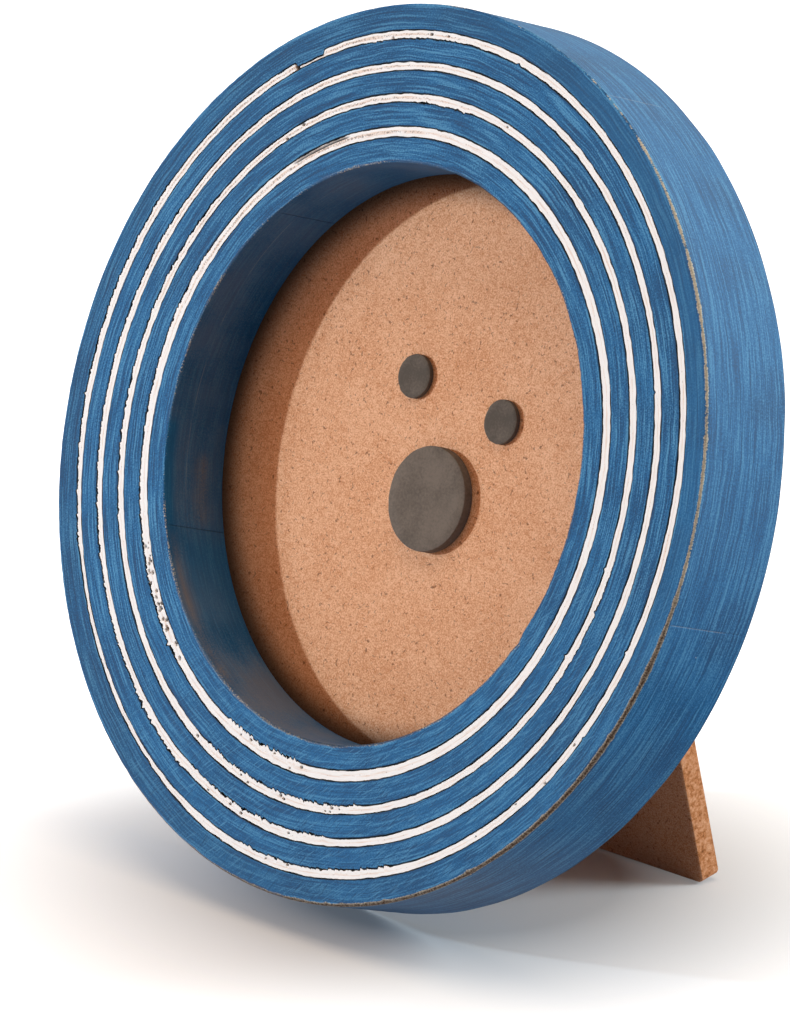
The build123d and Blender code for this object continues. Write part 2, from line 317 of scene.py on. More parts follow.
def swept_mesh(name, angles, rows, layers):
    """Mesh of a closed section carried round the z axis, with the marks of its rows in the named layers.
    A section that doesn't come round again gets flat ends."""
    def spread(values):
        return np.stack([np.broadcast_to(value, angles.shape) for value in values], axis=1)

    radii = spread([radius for radius, height, marks in rows])
    heights = spread([height for radius, height, marks in rows])
    turn = np.radians(angles)[:, None]
    points = np.stack((radii * np.cos(turn), radii * np.sin(turn), heights), axis=-1).reshape(-1, 3)
    whole_turn = angles[-1] + angles[1] - 2 * angles[0] > NEARLY_ROUND
    faces = grid_faces(len(angles), len(rows), whole_turn, True)
    if not whole_turn:
        last = (len(angles) - 1) * len(rows)
        faces.append(list(range(len(rows)))[::-1])
        faces.append(list(range(last, last + len(rows))))
    mesh = bpy.data.meshes.new(name)
    mesh.from_pydata(points * MM, [], faces)
    for layer in layers:
        add_layer(mesh, layer, spread([marks.get(layer, 0.0) for radius, height, marks in rows]).ravel())
    return mesh


def turned(shape, profile, centre=(0, 0, 0), count=64, start=0.0, end=360.0, squeeze=None):
    """Adds a turned piece to a bmesh. The profile's (radius, height) points run from axis to axis. A part
    turn is closed by a flat wall, and squeeze moves its points."""
    whole_turn = end - start > NEARLY_ROUND
    angles = np.radians(np.linspace(start, end, count, endpoint=not whole_turn))
    points = [
        (radius * math.cos(angle), radius * math.sin(angle), height)
        for angle in angles
        for radius, height in profile
    ]
    if squeeze:
        points = [squeeze(point) for point in points]
    points = np.array(points) + centre
    faces = [face[::-1] for face in grid_faces(count, len(profile), whole_turn, False)]
    if not whole_turn:
        last = (count - 1) * len(profile)
        faces.append(list(range(len(profile))) + list(range(last, last + len(profile)))[::-1])
    add_faces(shape, points, faces)


def arc(centre, radius, start, end, count):
    """Points of an arc in a plane."""
    turns = np.radians(np.linspace(start, end, count))
    return [(centre[0] + radius * math.cos(turn), centre[1] + radius * math.sin(turn)) for turn in turns]


def circle(centre, radius, count):
    """Points of a circle, clockwise as a hole in a plate needs."""
    return arc(centre, radius, 360, 360 / count, count)


def rounded(corners, steps=8):
    """Outline through corners, each an x, a y and the radius that rounds it."""
    outline = []
    for index, (x, y, radius) in enumerate(corners):
        corner = Vector((x, y))
        before = Vector(corners[index - 1][:2]) - corner
        after = Vector(corners[(index + 1) % len(corners)][:2]) - corner
        if radius == 0:
            outline.append((x, y))
            continue
        before.normalize()
        after.normalize()
        half_angle = before.angle(after) / 2
        centre = corner + (before + after).normalized() * (radius / math.sin(half_angle))
        first = (corner + before * (radius / math.tan(half_angle)) - centre).normalized()
        last = (corner + after * (radius / math.tan(half_angle)) - centre).normalized()
        for share in np.linspace(0, 1, steps):
            outline.append(tuple(centre + first.slerp(last, share) * radius))
    return outline


def plate_mesh(name, outlines, bottom, top, edge):
    """Mesh of a flat plate with rounded edges. The first outline is its rim and the others are its holes."""
    curve = bpy.data.curves.new(name, "CURVE")
    curve.dimensions = "2D"
    curve.fill_mode = "BOTH"
    curve.extrude = ((top - bottom) / 2 - edge) * MM
    curve.bevel_depth = edge * MM
    curve.bevel_resolution = 3
    curve.offset = -edge * MM
    for outline in outlines:
        spline = curve.splines.new("POLY")
        spline.points.add(len(outline) - 1)
        flat = [value for x, y in outline for value in (x * MM, y * MM, 0, 1)]
        spline.points.foreach_set("co", flat)
        spline.use_cyclic_u = True
    holder = bpy.data.objects.new(name, curve)
    mesh = bpy.data.meshes.new_from_object(holder)
    bpy.data.objects.remove(holder)
    bpy.data.curves.remove(curve)
    mesh.transform(Matrix.Translation((0, 0, (bottom + top) / 2 * MM)))
    return mesh


def shape_mesh(name, shape):
    """Turns a bmesh into a mesh, with touching points joined and all faces outwards."""
    bmesh.ops.remove_doubles(shape, verts=shape.verts, dist=JOIN_DISTANCE * MM)
    bmesh.ops.recalc_face_normals(shape, faces=shape.faces)
    mesh = bpy.data.meshes.new(name)
    shape.to_mesh(mesh)
    shape.free()
    return mesh


def add_piece(mesh, place, node, materials):
    """Puts a mesh where its frame is, in the stead of a CAD node and on that node's body. The layer
    "local" keeps each point's place in the frame, in millimetres, for the patterns of its materials."""
    flat = np.empty(len(mesh.vertices) * 3)
    mesh.vertices.foreach_get("co", flat)
    mesh.attributes.new("local", "FLOAT_VECTOR", "POINT").data.foreach_set("vector", flat / MM)
    mesh.transform(place)
    piece = bpy.data.objects.new(mesh.name, mesh)
    bpy.context.scene.collection.objects.link(piece)
    for material in materials:
        mesh.materials.append(material)
    mesh.polygons.foreach_set("use_smooth", [True] * len(mesh.polygons))
    mesh.set_sharp_from_angle(angle=math.radians(SMOOTH_ANGLE))
    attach(piece, BODY_OF[node])
    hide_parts(node)
    return piece


def even_normals(piece):
    """Keeps flat faces flat beside their rounded edges."""
    piece.modifiers.new("Flat faces", "WEIGHTED_NORMAL").keep_sharp = True


# Materials


def feed(tree, node, inputs):
    """Sets inputs of a node, by name in a dict or in their order in a tuple: to values, to sockets or to
    the first output of another node."""
    sockets = [socket for socket in node.inputs if not socket.is_unavailable]
    if isinstance(inputs, tuple):
        inputs = {socket.identifier: value for socket, value in zip(sockets, inputs)}
    for name, value in inputs.items():
        socket = next(socket for socket in sockets if name in (socket.identifier, socket.name))
        if isinstance(value, bpy.types.Node):
            value = next(output for output in value.outputs if not output.is_unavailable)
        if isinstance(value, bpy.types.NodeSocket):
            tree.links.new(value, socket)
        elif socket.type == "RGBA":
            socket.default_value = (*value[:3], 1)
        else:
            socket.default_value = value


def add(tree, kind, inputs=(), **settings):
    """Adds one shader node with its settings and its links."""
    node = tree.nodes.new("ShaderNode" + kind)
    for name, value in settings.items():
        setattr(node, name, value)
    feed(tree, node, inputs)
    return node


def new_material(name):
    """A new material with its tree, its shader and its piece's own coordinates in millimetres."""
    material = bpy.data.materials.new(name)
    material.use_nodes = True
    tree = material.node_tree
    place = add(tree, "Attribute", attribute_name="local").outputs["Vector"]
    return material, tree, tree.nodes["Principled BSDF"], place


def shared(name, make, settings):
    """The material of that name, made by its function the first time it is asked for."""
    return bpy.data.materials.get(name) or make(name, settings)


def round_ring(tree, place, along, across, rise):
    """Coordinates of streaks that run round the ring: their length, and their width outwards and forwards."""
    x, y, z = add(tree, "SeparateXYZ", (place,)).outputs
    flat = add(tree, "CombineXYZ", (x, y))
    way = add(tree, "VectorMath", (flat,), operation="NORMALIZE")
    around = add(tree, "VectorMath", (way, OUTER_RADIUS / along), operation="SCALE")
    radius = add(tree, "VectorMath", (flat,), operation="LENGTH")
    out = add(tree, "Math", (radius, 1 / across), operation="MULTIPLY")
    lift = add(tree, "Math", (z, 1 / rise, out), operation="MULTIPLY_ADD")
    lift = add(tree, "CombineXYZ", {"Z": lift})
    return add(tree, "VectorMath", (around, lift), operation="ADD")


def painted_wood(name, ring):
    """Turned softwood under thin milk paint, sanded back by hand: matt blue with fine pale streaks round
    the ring, faint scratches across its face, dark glue lines, painted shade in the grooves, on some
    edges and on stretches of the face, and brown wood where edges wear and hands rub."""
    material, tree, shader, place = new_material(name)
    edge, bare, scratch, pale, film, muted = (
        add(tree, "Attribute", attribute_name=layer).outputs["Fac"] for layer in RING_LAYERS
    )
    # Nothing runs quite straight: streaks sway by 0.3 mm over 8 mm
    sway = add(tree, "TexNoise", {"Vector": place, "Scale": 1 / 8, "Detail": 2.0}).outputs["Color"]
    swayed = add(tree, "VectorMath", (sway, (0.7, 0.7, 0.7), place), operation="MULTIPLY_ADD")

    # Marks of turning: ridges round the ring, 0.3 mm wide and 12 mm long, broken by crumbs of 0.3 mm
    grain = round_ring(tree, swayed, 12.0, 0.3, 0.34)
    ridges = add(tree, "TexNoise", {"Vector": grain, "Scale": 1.0, "Detail": 2.0})
    crumbs = add(tree, "TexNoise", {"Vector": place, "Scale": 1 / 0.3, "Detail": 3.0, "Roughness": 0.6})
    raised = add(tree, "Math", (crumbs, 0.7, ridges), operation="MULTIPLY_ADD")
    # Thick and thin paint in patches of 14 mm
    patches = add(tree, "TexNoise", {"Vector": place, "Scale": 1 / 14, "Detail": 3.0})
    thick = add(tree, "MapRange", (patches, 0.0, 0.56))
    colours = add(tree, "MixRGB", (thick, ring.deep_paint, ring.paint))
    # Ridges rubbed pale and hollows left deep, both less where the streaks are muted
    contrast = add(tree, "MapRange", {"Value": muted, "To Min": 0.85, "To Max": 0.2})
    for none, full, paint in ((0.85, 1.04, ring.rubbed_paint), (0.85, 0.66, ring.deep_paint)):
        streaks = add(tree, "MapRange", (raised, none, full, 0.0, contrast))
        colours = add(tree, "MixRGB", (streaks, colours, paint))
    colours = add(tree, "MixRGB", (pale, colours, ring.wood))

    # Sanding scratches across the face, pale and dark, 4 mm long and leaning to the right: 0.25 mm wide,
    # which is coarser than real grit so that they show
    for turn, paint in ((-0.7, ring.rubbed_paint), (-1.0, ring.deep_paint)):
        across = add(tree, "Mapping", {"Vector": place, "Rotation": (0, 0, turn)})
        across = add(tree, "VectorMath", (across, (1 / 4, 1 / 0.25, 1 / 20)), operation="MULTIPLY")
        marks = add(tree, "TexNoise", {"Vector": across, "Scale": 1.0, "Detail": 1.0})
        marks = add(tree, "MapRange", (marks, 0.56, 0.74, 0.0, 0.7))
        marks = add(tree, "Math", (marks, scratch), operation="MULTIPLY")
        colours = add(tree, "MixRGB", (marks, colours, paint))

    # A brown film where hands rub, and bare wood in crumbs, darker under the film
    worn = add(tree, "Math", (crumbs, 0.6, patches), operation="MULTIPLY_ADD")
    smudge = add(tree, "MapRange", (worn, 0.6, 0.95, 0.0, film))
    torn = add(tree, "Math", (crumbs, 1.4, -0.7), operation="MULTIPLY_ADD")
    bare = add(tree, "Math", (bare, torn), operation="ADD")
    bare = add(tree, "MapRange", (bare, 0.4, 0.64))
    grit = add(tree, "Math", (film, -0.4, crumbs), operation="MULTIPLY_ADD")
    grit = add(tree, "MapRange", (grit, 0.05, 0.65))
    wood = add(tree, "MixRGB", (grit, ring.dark_wood, ring.wood))
    # The edge layer darkens towards the groove edge colour: painted shade, and the dark glue lines of the bore
    for share, layer in ((smudge, ring.film), (bare, wood), (edge, ring.edge)):
        colours = add(tree, "MixRGB", (share, colours, layer))

    bump = add(tree, "Bump", {"Height": raised, "Strength": 0.7, "Distance": 0.05 * MM})
    rough = add(tree, "MapRange", (raised, 0.5, 1.2, 0.6, 0.8))
    feed(tree, shader, {
        "Base Color": colours, "Roughness": rough, "Normal": bump, "IOR": 1.5, "Specular IOR Level": 0.16,
    })
    return material


def white_filler(name, filling):
    """Chalky wood filler scraped flush: matt white, stained along the middle, dirty in its pits, with painted
    shade along its sides.
    """
    material, tree, shader, place = new_material(name)
    middle, dirt = (
        add(tree, "Attribute", attribute_name=layer).outputs["Fac"] for layer in FILLING_LAYERS
    )
    # Streaks round the ring, 0.25 mm wide and 5 mm long, and brown flecks of 0.3 mm, along the middle
    grain = round_ring(tree, place, 5.0, 0.25, 1.0)
    streaks = add(tree, "TexNoise", {"Vector": grain, "Scale": 1.0, "Detail": 3.0})
    stain = add(tree, "Math", (streaks, middle), operation="MULTIPLY")
    stain = add(tree, "MapRange", (stain, 0.34, 0.58, 0.0, 0.6))
    crumbs = add(tree, "TexNoise", {"Vector": place, "Scale": 1 / 0.3, "Detail": 2.0})
    flecks = add(tree, "Math", (crumbs, middle), operation="MULTIPLY")
    flecks = add(tree, "MapRange", (flecks, 0.52, 0.66, 0.0, 0.55))
    white = filling.filler
    for share, layer in ((stain, filling.stain), (flecks, filling.dirt), (dirt, filling.dirt)):
        white = add(tree, "MixRGB", (share, white, layer))
    bump = add(tree, "Bump", {"Height": crumbs, "Strength": 0.4, "Distance": 0.04 * MM})
    feed(tree, shader, {
        "Base Color": white, "Roughness": 0.85, "Normal": bump, "IOR": 1.5, "Specular IOR Level": 0.15,
    })
    return material


def fibreboard_face(name, board):
    """Medium density fibreboard, sanded face: tan and finely mottled, with short dark fibres and specks,
    and painted shade in the corner of the well."""
    material, tree, shader, place = new_material(name)
    # Felted fibres: mottling of 0.32 mm, clumps of 0.9 mm and faint clouds of 9 mm
    fine = add(tree, "TexNoise", {"Vector": place, "Scale": 1 / 0.32, "Detail": 2.0, "Roughness": 0.65})
    clumps = add(tree, "TexNoise", {"Vector": place, "Scale": 1 / 0.9, "Detail": 2.0})
    clouds = add(tree, "TexNoise", {"Vector": place, "Scale": 1 / 9, "Detail": 3.0})
    felt = add(tree, "Math", (clumps, 0.3, fine), operation="MULTIPLY_ADD")
    felt = add(tree, "Math", (clouds, 0.2, felt), operation="MULTIPLY_ADD")
    pale = add(tree, "MapRange", (felt, 0.6, 0.9))
    # Single dark fibres: bent dashes about 0.15 mm wide and 0.8 mm long
    bends = add(tree, "TexNoise", {"Vector": place, "Scale": 1 / 1.6, "Detail": 1.0, "Distortion": 0.6})
    off_line = add(tree, "Math", (bends, 0.5), operation="SUBTRACT")
    off_line = add(tree, "Math", (off_line,), operation="ABSOLUTE")
    line = add(tree, "MapRange", (off_line, 0.034, 0.01))
    here = add(tree, "TexNoise", {"Vector": place, "Scale": 1 / 0.7, "Detail": 0.0})
    here = add(tree, "MapRange", (here, 0.58, 0.7, 0.0, 0.7))
    dashes = add(tree, "Math", (line, here), operation="MULTIPLY")
    # Specks of bark: dots of 0.5 mm, one in every square centimetre or so
    cells = add(tree, "TexVoronoi", {"Vector": place, "Scale": 1 / 3.5})
    dot = add(tree, "MapRange", (cells.outputs["Distance"], 0.1, 0.05, 0.0, 0.8))
    chance = add(tree, "SeparateColor", (cells.outputs["Color"],))
    rare = add(tree, "Math", (chance, 0.86), operation="GREATER_THAN")
    dots = add(tree, "Math", (dot, rare), operation="MULTIPLY")
    # Painted shade on the display board in the corner of its well, which fades over 6 mm
    soiled = add(tree, "Attribute", attribute_name="soiled").outputs["Fac"]
    flat = add(tree, "VectorMath", (place, (1, 1, 0)), operation="MULTIPLY")
    radius = add(tree, "VectorMath", (flat,), operation="LENGTH")
    reach = (OPENING_RADIUS - 6, OPENING_RADIUS, 0.0, 0.9)
    corner = add(tree, "MapRange", (radius, *reach), interpolation_type="SMOOTHSTEP")
    corner = add(tree, "Math", (corner, soiled), operation="MULTIPLY")
    # The strut's faces are darkened towards the dark fibres: painted shade, as the strut's front stands in shade
    strut = add(tree, "ObjectInfo").outputs["Object Index"]
    brown = add(tree, "Math", (strut, 0.55), operation="MULTIPLY")
    tan = add(tree, "MixRGB", (pale, board.board, board.pale_board))
    dark = board.dark_board
    for share, layer in ((dashes, dark), (dots, dark), (corner, board.dirt), (brown, dark)):
        tan = add(tree, "MixRGB", (share, tan, layer))
    bump = add(tree, "Bump", {"Height": fine, "Strength": 0.4, "Distance": 0.03 * MM})
    feed(tree, shader, {
        "Base Color": tan, "Roughness": 0.85, "Normal": bump, "IOR": 1.5, "Specular IOR Level": 0.15,
    })
    return material


def fibreboard_edge(name, board):
    """Medium density fibreboard, sawn edge: darker, redder and coarser than its face, with open pores."""
    material, tree, shader, place = new_material(name)
    # Clumps of fibres, 0.9 mm
    clumps = add(tree, "TexNoise", {"Vector": place, "Scale": 1 / 0.9, "Detail": 4.0, "Roughness": 0.75})
    pale = add(tree, "MapRange", (clumps, 0.46, 0.68, 0.0, 0.7))
    pores = add(tree, "MapRange", (clumps, 0.46, 0.3, 0.0, 0.8))
    tan = add(tree, "MixRGB", (pale, board.sawn, board.pale_board))
    tan = add(tree, "MixRGB", (pores, tan, board.dark_board))
    bump = add(tree, "Bump", {"Height": clumps, "Strength": 0.6, "Distance": 0.12 * MM})
    feed(tree, shader, {
        "Base Color": tan, "Roughness": 0.9, "Normal": bump, "IOR": 1.5, "Specular IOR Level": 0.12,
    })
    return material


def plated_steel(name, hardware):
    """Mild steel, zinc-plated: grey with faint cloudy crystals, dull in places."""
    material, tree, shader, place = new_material(name)
    # Crystals of 1.5 mm, and a dull film in clouds of 6 mm
    crystals = add(tree, "TexVoronoi", {"Vector": place, "Scale": 1 / 1.5})
    shade = add(tree, "SeparateColor", (crystals.outputs["Color"],))
    clouds = add(tree, "TexNoise", {"Vector": place, "Scale": 1 / 6, "Detail": 4.0})
    film = add(tree, "MapRange", (clouds, 0.45, 0.75, 0.0, 0.6))
    grey = add(tree, "MixRGB", (film, hardware.zinc, hardware.tarnish))
    rough = add(tree, "MapRange", {"Value": shade, "To Min": 0.3, "To Max": 0.46})
    bump = add(tree, "Bump", {"Height": clouds, "Strength": 0.2, "Distance": 0.02 * MM})
    feed(tree, shader, {"Base Color": grey, "Metallic": 1.0, "Roughness": rough, "Normal": bump})
    return material


def turned_brass(name, hardware):
    """Brass, turned: warm yellow with a brown film."""
    material, tree, shader, place = new_material(name)
    # Film in clouds of 1.2 mm
    clouds = add(tree, "TexNoise", {"Vector": place, "Scale": 1 / 1.2, "Detail": 4.0})
    film = add(tree, "MapRange", (clouds, 0.42, 0.75, 0.0, 0.7))
    yellow = add(tree, "MixRGB", (film, hardware.brass, hardware.tarnish))
    rough = add(tree, "MapRange", {"Value": clouds, "To Min": 0.25, "To Max": 0.5})
    feed(tree, shader, {"Base Color": yellow, "Metallic": 1.0, "Roughness": rough})
    return material


def sintered_ferrite(name, magnet):
    """Ferrite, pressed and sintered: dull dark grey ceramic with pale grains and small pores."""
    material, tree, shader, place = new_material(name)
    # Grains of 0.5 mm, which is coarser than real ones so that they show, and clouds of 4 mm
    grains = add(tree, "TexNoise", {"Vector": place, "Scale": 1 / 0.5, "Detail": 3.0, "Roughness": 0.7})
    clouds = add(tree, "TexNoise", {"Vector": place, "Scale": 1 / 4, "Detail": 2.0})
    both = add(tree, "Math", (grains, clouds), operation="ADD")
    # The small discs come from a darker batch
    small = add(tree, "ObjectInfo").outputs["Object Index"]
    both = add(tree, "Math", (small, -0.3, both), operation="MULTIPLY_ADD")
    pale = add(tree, "MapRange", (both, 0.6, 1.2))
    grey = add(tree, "MixRGB", (pale, magnet.ferrite, magnet.grains))
    bump = add(tree, "Bump", {"Height": grains, "Strength": 0.4, "Distance": 0.04 * MM})
    feed(tree, shader, {
        "Base Color": grey, "Roughness": 0.85, "Normal": bump, "IOR": 2.3, "Specular IOR Level": 0.06,
    })
    return material


def board_materials(looks):
    """Materials of a sawn board: its faces and its edges."""
    face = shared("medium density fibreboard, sanded", fibreboard_face, looks)
    return [face, shared("medium density fibreboard, sawn", fibreboard_edge, looks)]


def steel_material(hardware):
    """Material of the sheet, the hinge, the rivets and the turn buttons."""
    return shared("mild steel, zinc-plated", plated_steel, hardware)


# Ring and filled grooves

# Finest step round the ring, which shows torn grain a fifth of a millimetre long
COLUMN_STEP = 0.1
# Layers of the ring: dark glue lines and painted shade, bare wood, scratched face, pale paint, brown film and
# muted streaks
RING_LAYERS = ("edge", "bare", "scratch", "pale", "film", "muted")
# Layers of the fillings: nearness to the middle of the line, and dirt
FILLING_LAYERS = ("middle", "dirt")

# White lines are numbered from the rim. A groove's edge is -1 for the inner and 1 for the outer one.
INNER, OUTER = -1, 1
# Where the cutter tore the grain: line, edge, ring angles and depth of the teeth
TORN_EDGES = (
    (1, INNER, 262, 293, 0.42), (1, INNER, 84, 108, 0.22), (1, OUTER, 150, 205, 0.42),
    (2, INNER, 246, 279, 0.5), (2, OUTER, 150, 246, 0.38),
    (3, INNER, 248, 286, 0.55), (3, INNER, 84, 97, 0.3), (3, OUTER, 145, 205, 0.4), (3, OUTER, 330, 355, 0.2),
    (4, INNER, 250, 270, 0.6), (4, OUTER, 205, 232, 0.35), (4, OUTER, 150, 205, 0.38),
)
# Notches in the edges of the grooves: line, edge, ring angle, depth and width
NOTCHES = (
    (1, OUTER, 182.9, 0.35, 0.4), (3, INNER, 352.8, 0.3, 0.4), (3, OUTER, 346.1, -0.3, 0.4),
    (3, INNER, 337.4, 0.3, 0.4), (2, INNER, 20.0, -0.3, 0.4), (1, INNER, 344.0, 0.3, 0.4),
    (1, INNER, 78.0, -0.4, 0.6), (4, OUTER, 228.0, 0.4, 0.4), (2, OUTER, 233.0, 0.35, 0.4),
    (1, OUTER, 331.0, -0.3, 0.4),
)
# Stretches where a groove is narrower: line, edge, ring angles, loss of width and run-out
PINCHED_LINE, PINCH_START, PINCH_END = 1, 116.3, 121.6
NARROWS = (
    (PINCHED_LINE, OUTER, PINCH_START, PINCH_END, 0.85, 0.3), (1, OUTER, 190, 248, 0.5, 16),
    (2, OUTER, 195, 236, 0.25, 14),
)
# Where the filling is pitted: line, ring angles and number of pits
PITTED = (
    (1, 262, 330, 6), (1, 84, 120, 3), (2, 240, 300, 4), (3, 245, 292, 9), (3, 60, 130, 3), (4, 208, 233, 36),
    (4, 250, 272, 5),
)
# A pit is this much longer than wide, and its hollow reaches over this many columns of points each way
PIT_STRETCH, PIT_COLUMNS = 1.4, 30
# A thin crack along the innermost filling
CRACKED_LINE, CRACK_START, CRACK_END, CRACK_RADIUS, CRACK_WIDTH = 4, 113.0, 126.0, 54.95, 0.14
# Points across a filling
FILLING_POINTS = 15

# How far the wood shows through the paint of the outer wall, by ring angle
THIN_ANGLES = (0, 30, 60, 110, 200, 260, 300, 318, 340, 360)
THIN_LEVELS = (0.04, 0.06, 0.08, 0.07, 0.03, 0.1, 0.13, 0.02, 0.0, 0.04)
# How worn the outer front edge is, by ring angle: bare at the lower right, dots further up, little elsewhere
WEAR_ANGLES = (0, 20, 50, 68, 130, 225, 250, 285, 345, 352, 360)
WEAR_LEVELS = (0.66, 0.66, 0.6, 0.2, 0.12, 0.12, 0.4, 0.95, 1.0, 0.78, 0.66)
# Chips along that edge
CHIP_COUNT = 60
# Depth below the face of a mark that the turning tool left round the bore, and half its width
BORE_MARK, BORE_MARK_HALF = 5.2, 0.12
# A dent in the outer wall, by ring angle and depth below the face, and a chip in the edge of the opening
DENT_ANGLE, DENT_DEPTH, CHIP_ANGLE = -13.5, 10.0, -28.0
# How far the paint sinks along a glue line, and beside it
SEAM, SEAM_SIDE = 0.07, 0.03
# Chamfer of the foot of the bore and of the rabbet
FOOT, RABBET_EDGE = 0.2, 0.25

# Stretches of the ring that look different: first and last ring angle, and over how many degrees they fade
HATCHED_FACE = (235, 345, 30)
# Painted shade on the face's upper left
SHADED_FACE = (95, 160, 40)
MUTED_RIM = (-20, 80, 30)
# Painted shade round the outermost band of the face
SHADED_RIM = (30, 285, 40)
BROWN_RIM = (230, 352, 12)
# Painted shade along the right of the opening's edge
SHADED_OPENING = (-100, 90, 20)
MARKED_BORE = (125, 205, 20)
HANDLED_BORE = (228, 300, 30)
CLEAN_BORE = (207, 232, 6)
CLEAN_BORE_EDGE = (184, 207, 3)
RUBBED_BORE_EDGE = (209, 245, 6)
BORE_STREAK = (191, 205, 3)
STAINED_LINES = (95, 160, 30)


def on_line(table, line):
    """Rows of a table that are about one white line, without its number."""
    return [rest for number, *rest in table if number == line]


def groove_edges(line, angles, settings):
    """Inner and outer radius of a groove all along some ring angles, with its torn edges."""
    radii = radii_of(points_in(RING, f"groove_filling_{line}"))
    gap = settings.side_gap / MM
    edges = {INNER: radii.min() - gap, OUTER: radii.max() + gap}
    for side in edges:
        seed = 100 * line + 10 * side
        uneven = 0.07 * wander(angles, 15, seed) + 0.04 * wander(angles, 1.2, seed + 1)
        edges[side] = edges[side] + uneven + 0.03 * wander(angles, 0.4, seed + 2)
    for side, start, end, depth in on_line(TORN_EDGES, line):
        torn = teeth(angles, 1.15, 7 * line + side) + 0.4 * teeth(angles, 0.45, 9 * line + side)
        edges[side] = edges[side] + side * depth * torn * window(angles, start, end)
    for side, angle, depth, width in on_line(NOTCHES, line):
        edges[side] = edges[side] + side * depth * bump_at(angles, angle, radii.mean(), width) ** 2
    for side, start, end, loss, fade in on_line(NARROWS, line):
        uneven = 1 + 0.15 * wander(angles, 1.0, 5)
        edges[side] = edges[side] - side * loss * uneven * window(angles, start, end, fade)
    return edges[INNER], edges[OUTER]


def groove_rows(line, angles, ring, filling):
    """Rows of a groove, from its inner lip over its floor to its outer lip."""
    inner, outer = groove_edges(line, angles, filling)
    floor = heights_of(RING, f"groove_filling_{line}")[0]
    lip = ring.lip / MM
    # The edge marks darken the lips and walls of the groove: painted shade
    down = [
        (inner - 2.8 * lip, 0.0, 0.0),
        (inner - 1.7 * lip, -0.05 * lip, 0.5),
        (inner - 0.8 * lip, -0.3 * lip, 1.0),
        (inner, -1.2 * lip, 1.0),
        (inner, floor, 1.0),
    ]
    up = [(outer + inner - radius, height, edge) for radius, height, edge in reversed(down)]
    return [row(radius, height, edge=edge) for radius, height, edge in down + up]


def band_rows(angles, inner, outer, dull, muted=0.0):
    """Rows of the face between two edges: slightly hollow, scratched at the lower right, and darkened with painted
    shade by dull.
    """
    hollow = -0.015 * (1 + wander(angles, 11, round(np.mean(inner))))
    hatched = window(angles, *HATCHED_FACE)
    marks = {"scratch": 0.25 + 0.75 * hatched, "muted": np.maximum(muted, 0.4 * hatched), "edge": dull}
    return [row(inner * (1 - share) + outer * share, hollow, **marks) for share in (0.1, 0.5, 0.9)]


def bore_film(angles, height):
    """Brown film of the bore: where hands reach in, along its front edge, and in a streak by a glue line."""
    handled = 0.2 + 0.2 * window(angles, *HANDLED_BORE) - 0.14 * window(angles, *CLEAN_BORE)
    front = 0.4 * window(angles, *RUBBED_BORE_EDGE) * math.exp(-(((height + 1.5) / 1.4) ** 2))
    streak = 0.3 * window(angles, *BORE_STREAK) * math.exp(-(((height + 9) / 1.6) ** 2))
    clean = window(angles, *CLEAN_BORE_EDGE) * (height > -2)
    return (handled + front + streak) * (1 - clean)


def bore_rows(angles, seam):
    """Rows from the ledge up the bore, with dark glue lines and marks of the tool."""
    ledge = -WELL_DEPTH
    marked = window(angles, *MARKED_BORE) * np.clip(0.6 + wander(angles, 3, 37), 0, 1)
    rows = [
        row(OPENING_RADIUS + FOOT, ledge, bare=0.5), row(OPENING_RADIUS + 0.05, ledge + 0.6 * FOOT, muted=1.0)
    ]
    heights = [*np.linspace(ledge + 1.5 * FOOT, -1.5, 9)]
    heights += [-BORE_MARK + offset for offset in (-BORE_MARK_HALF, 0.0, BORE_MARK_HALF)]
    for height in sorted(heights):
        chatter = 0.03 * np.sin(2 * math.pi * height / 4.5 + 2 * wander(angles, 18, 34))
        radius = OPENING_RADIUS + seam + chatter + 0.03
        pale = 0.2 * marked * (height == -BORE_MARK)
        rows.append(row(radius, height, pale=pale, film=bore_film(angles, height), muted=1.0, edge=8 * seam))
    return rows


def opening_rows(angles, ring):
    """Rows round the edge of the opening, with a chip in it, and painted shade along its right side."""
    small = ring.opening_arris / MM * (1 + 0.45 * wander(angles, 4, 31) + 0.25 * wander(angles, 0.8, 32))
    small = small + 0.55 * bump_at(angles, CHIP_ANGLE, OPENING_RADIUS, 0.9)
    rubbed = np.clip(0.4 + 0.5 * wander(angles, 7, 33), 0, 1)
    # Painted shade on the rounded edge of the opening, along its right side
    dark = 0.75 * window(angles, *SHADED_OPENING)
    film = bore_film(angles, 0)
    rows = []
    for turn in np.radians(np.linspace(180, 90, 6)):
        radius = OPENING_RADIUS + small * (1 + math.cos(turn))
        bare = 0.2 + 0.35 * rubbed if turn < math.pi else 0.0
        marks = {"bare": bare, "film": film, "muted": -math.cos(turn), "edge": -dark * math.sin(2 * turn)}
        rows.append(row(radius, small * (math.sin(turn) - 1), **marks))
    rows.append(row(OPENING_RADIUS + small + 0.15, 0.0))
    return rows


def worn_arris(angles, ring):
    """Radius of the outer front edge, with its chips, how bare its wood is, and how wide the bare band."""
    wear = np.interp(np.asarray(angles) % 360, WEAR_ANGLES, WEAR_LEVELS)
    chips = np.zeros_like(wear)
    draw = np.random.default_rng(41)
    for _ in range(CHIP_COUNT):
        depth = draw.uniform(0.15, 0.5)
        angle = draw.uniform(0, 360)
        width = draw.uniform(0.4, 1.3)
        chips = np.maximum(chips, depth * bump_at(angles, angle, OUTER_RADIUS, width))
    uneven = 0.1 * wander(angles, 6, 42) + 0.08 * wander(angles, 0.9, 43)
    radius = ring.arris / MM * (0.3 + 0.6 * wear + uneven) + 0.6 * chips * wear
    bare = np.clip(1.25 * wear + 0.2 * wander(angles, 2.5, 44) + 0.2 * wander(angles, 0.6, 45), 0, 1)
    return np.maximum(radius, 0.2), bare, wear


